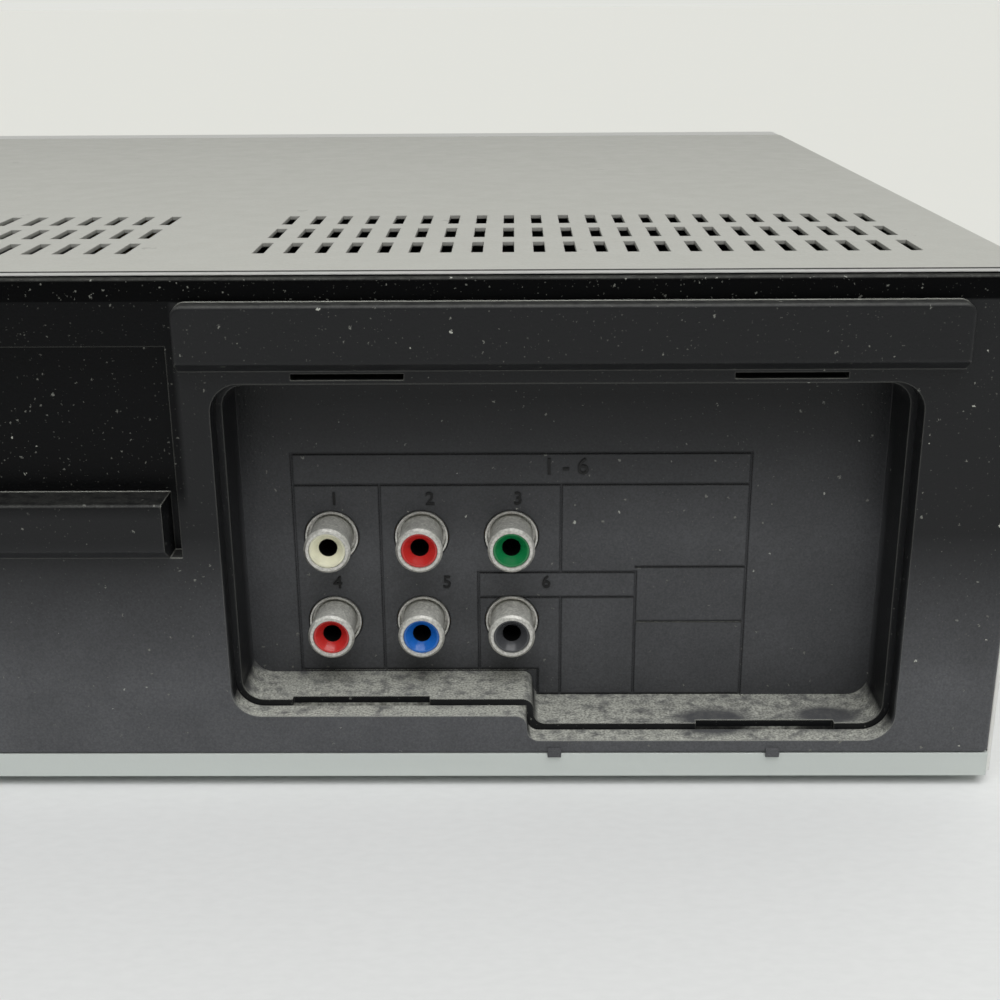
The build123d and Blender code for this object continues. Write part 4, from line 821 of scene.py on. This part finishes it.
class DeckFinish(bpy.types.Operator):
    """Finishes the cassette deck, its drum, its reels and its carriage"""
    bl_idname = "player.deck_finish"
    bl_label = "Cassette deck"

    def execute(self, context):
        pressed = ("cassette_deck", "pinch_arm", "cassette_brackets", "carriage_sliders", "cassette_holder")
        finish(zinc_plated_steel(), *pressed)
        finish(turned_aluminium(), "lower_drum", "upper_drum")
        finish(ground_steel(), "capstan", "tape_guides", "tape_heads")
        white = moulded_plastic("moulded_white_acetal", "#E4E5E1", roughness=0.3)
        finish(white, "supply_reel_table", "takeup_reel_table")
        finish(moulded_rubber(), "pinch_roller")
        return {"FINISHED"}


class BoardFinish(bpy.types.Operator):
    """Finishes the circuit boards"""
    bl_idname = "player.board_finish"
    bl_label = "Boards"

    def execute(self, context):
        finish(laminate("glass_epoxy_board", "#1F5A38", "#2F7A4C"), "main_board")
        phenolic = laminate("paper_phenolic_board", "#8A6538", "#A77F49")
        finish(phenolic, "power_board", "jack_boards", "front_board")
        epoxy = moulded_plastic("moulded_epoxy_chips", "#202124", roughness=0.5)
        sleeve = moulded_plastic("shrunk_vinyl_sleeve", "#26324A", roughness=0.3)
        # what stands on the board is epoxy up to the chips' height and sleeved capacitors above it
        board_thick, over_board, over_chips = 1.6, 0.2, 2.0
        board_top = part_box("main_board")[0].z / MM + board_thick
        finish_faces("main_board", epoxy, lambda u, v, w: w > board_top + over_board)
        finish_faces("main_board", sleeve, lambda u, v, w: w > board_top + over_chips)
        finish_faces("power_board", sleeve, lambda u, v, w: w > board_top + over_board)
        return {"FINISHED"}


class Studio(bpy.types.Operator):
    """Sets the floor, the soft light and the camera"""
    bl_idname = "player.studio"
    bl_label = "Studio"

    def execute(self, context):
        scene = context.scene
        studio = scene.player_studio
        # a floor far wider than the view
        half_m = 30.0
        mesh = bpy.data.meshes.new("floor")
        corners = [(-half_m, -half_m), (half_m, -half_m), (half_m, half_m), (-half_m, half_m)]
        mesh.from_pydata([(x, y, cad_box[0].z) for x, y in corners], [], [(0, 1, 2, 3)])
        floor = bpy.data.objects.new("floor", mesh)
        scene.collection.objects.link(floor)
        # pale paper, turning to the wall's white far behind the player, with short fibres in it
        made, shader = start("matt_paper", studio.floor, 0.75)
        far = along(made, "Y", -150.0, -400.0)
        white = add(made, "Mix", {0: far, 6: studio.floor, 7: studio.wall}, **COLOUR)
        uneven = mottled(made, 60.0, white, shaded(studio.floor, 0.8), 0.0, 0.05)
        fibre, grey = {"detail": 5.0, "stretch": (0.45, 1.0, 1.0)}, shaded(studio.floor, 0.75)
        feed(made, shader, base_color=mottled(made, 1.3, uneven, grey, 0.0, 0.14, **fibre))
        mesh.materials.append(made)

        world = bpy.data.worlds.new("room")
        scene.world = world
        world.use_nodes = True
        room = world.node_tree.nodes["Background"]
        # the wall past the player gives most of the light, and the camera sees it as a plain white
        from_camera = add(world, "LightPath", {}, "Is Camera Ray")
        through_glass = from_camera.node.outputs["Is Transmission Ray"]
        seen = add(world, "Math", {0: from_camera, 1: through_glass}, **MOST)
        ray = add(world, "TexCoord", {}, "Generated")
        toward = add(world, "SeparateXYZ", {0: ray}, "Y")
        lit = add(world, "MapRange", {0: toward, 1: -0.6, 2: 0.5, 3: studio.bright, 4: studio.dim})
        plain = add(world, "MapRange", {0: toward, 1: -0.3, 2: 0.1, 3: 0.768, 4: 0.87})
        shown = add(world, "MapRange", {0: seen, 1: 0.0, 2: 1.0, 3: lit, 4: plain})
        world.node_tree.links.new(shown, room.inputs["Strength"])
        room.inputs["Color"].default_value = linear("#FEFFFA")

        # a lamp as wide as a lit ceiling, a little towards the camera
        lamp = bpy.data.lights.new("soft_light", "SUN")
        lamp.energy = studio.sun
        lamp.angle = math.radians(56.0)
        sun = bpy.data.objects.new("soft_light", lamp)
        sun.rotation_euler = (math.radians(-24.0), math.radians(-6.0), 0.0)
        scene.collection.objects.link(sun)

        # the camera of the photograph, low and close behind the player
        lens = bpy.data.cameras.new("camera")
        lens.lens = studio.focal
        lens.sensor_width = 36.0
        lens.clip_start = 0.01
        camera = bpy.data.objects.new("camera", lens)
        camera.location = studio.place
        camera.rotation_euler = Euler(studio.turn, "XYZ")
        scene.collection.objects.link(camera)
        scene.camera = camera
        scene.view_settings.view_transform = "Standard"
        return {"FINISHED"}


class PlayerPanel(bpy.types.Panel):
    """Lists the settings and the steps"""
    bl_idname = "VIEW3D_PT_player"
    bl_label = "Disc and cassette player"
    bl_space_type = "VIEW_3D"
    bl_region_type = "UI"
    bl_category = "Player"

    def draw(self, context):
        for name in GROUPS:
            settings = getattr(context.scene, name)
            box = self.layout.box()
            for key in settings.__annotations__:
                box.prop(settings, key)
        for made in STEPS:
            self.layout.operator(made.bl_idname)


GROUPS = {"player_case": PlayerCase, "player_jacks": PlayerJacks, "player_studio": PlayerStudio}
STEPS = (
    Studio,
    CaseFinish,
    BackFinish,
    JackFinish,
    AerialThreads,
    JackNumbers,
    FrontFinish,
    KeySigns,
    DisplayDigits,
    LoaderFinish,
    DeckFinish,
    BoardFinish,
)


def register():
    """Adds the classes, and the settings to the scene."""
    for made in (*GROUPS.values(), *STEPS, PlayerPanel):
        bpy.utils.register_class(made)
    for name, made in GROUPS.items():
        setattr(bpy.types.Scene, name, bpy.props.PointerProperty(type=made))


def unregister():
    """Takes the settings and the classes away."""
    for name in GROUPS:
        delattr(bpy.types.Scene, name)
    for made in reversed((*GROUPS.values(), *STEPS, PlayerPanel)):
        bpy.utils.unregister_class(made)


def main():
    """Runs every step in order."""
    register()
    for step in STEPS:
        group, name = step.bl_idname.split(".")
        getattr(getattr(bpy.ops, group), name)()


if __name__ == "__main__":
    main()
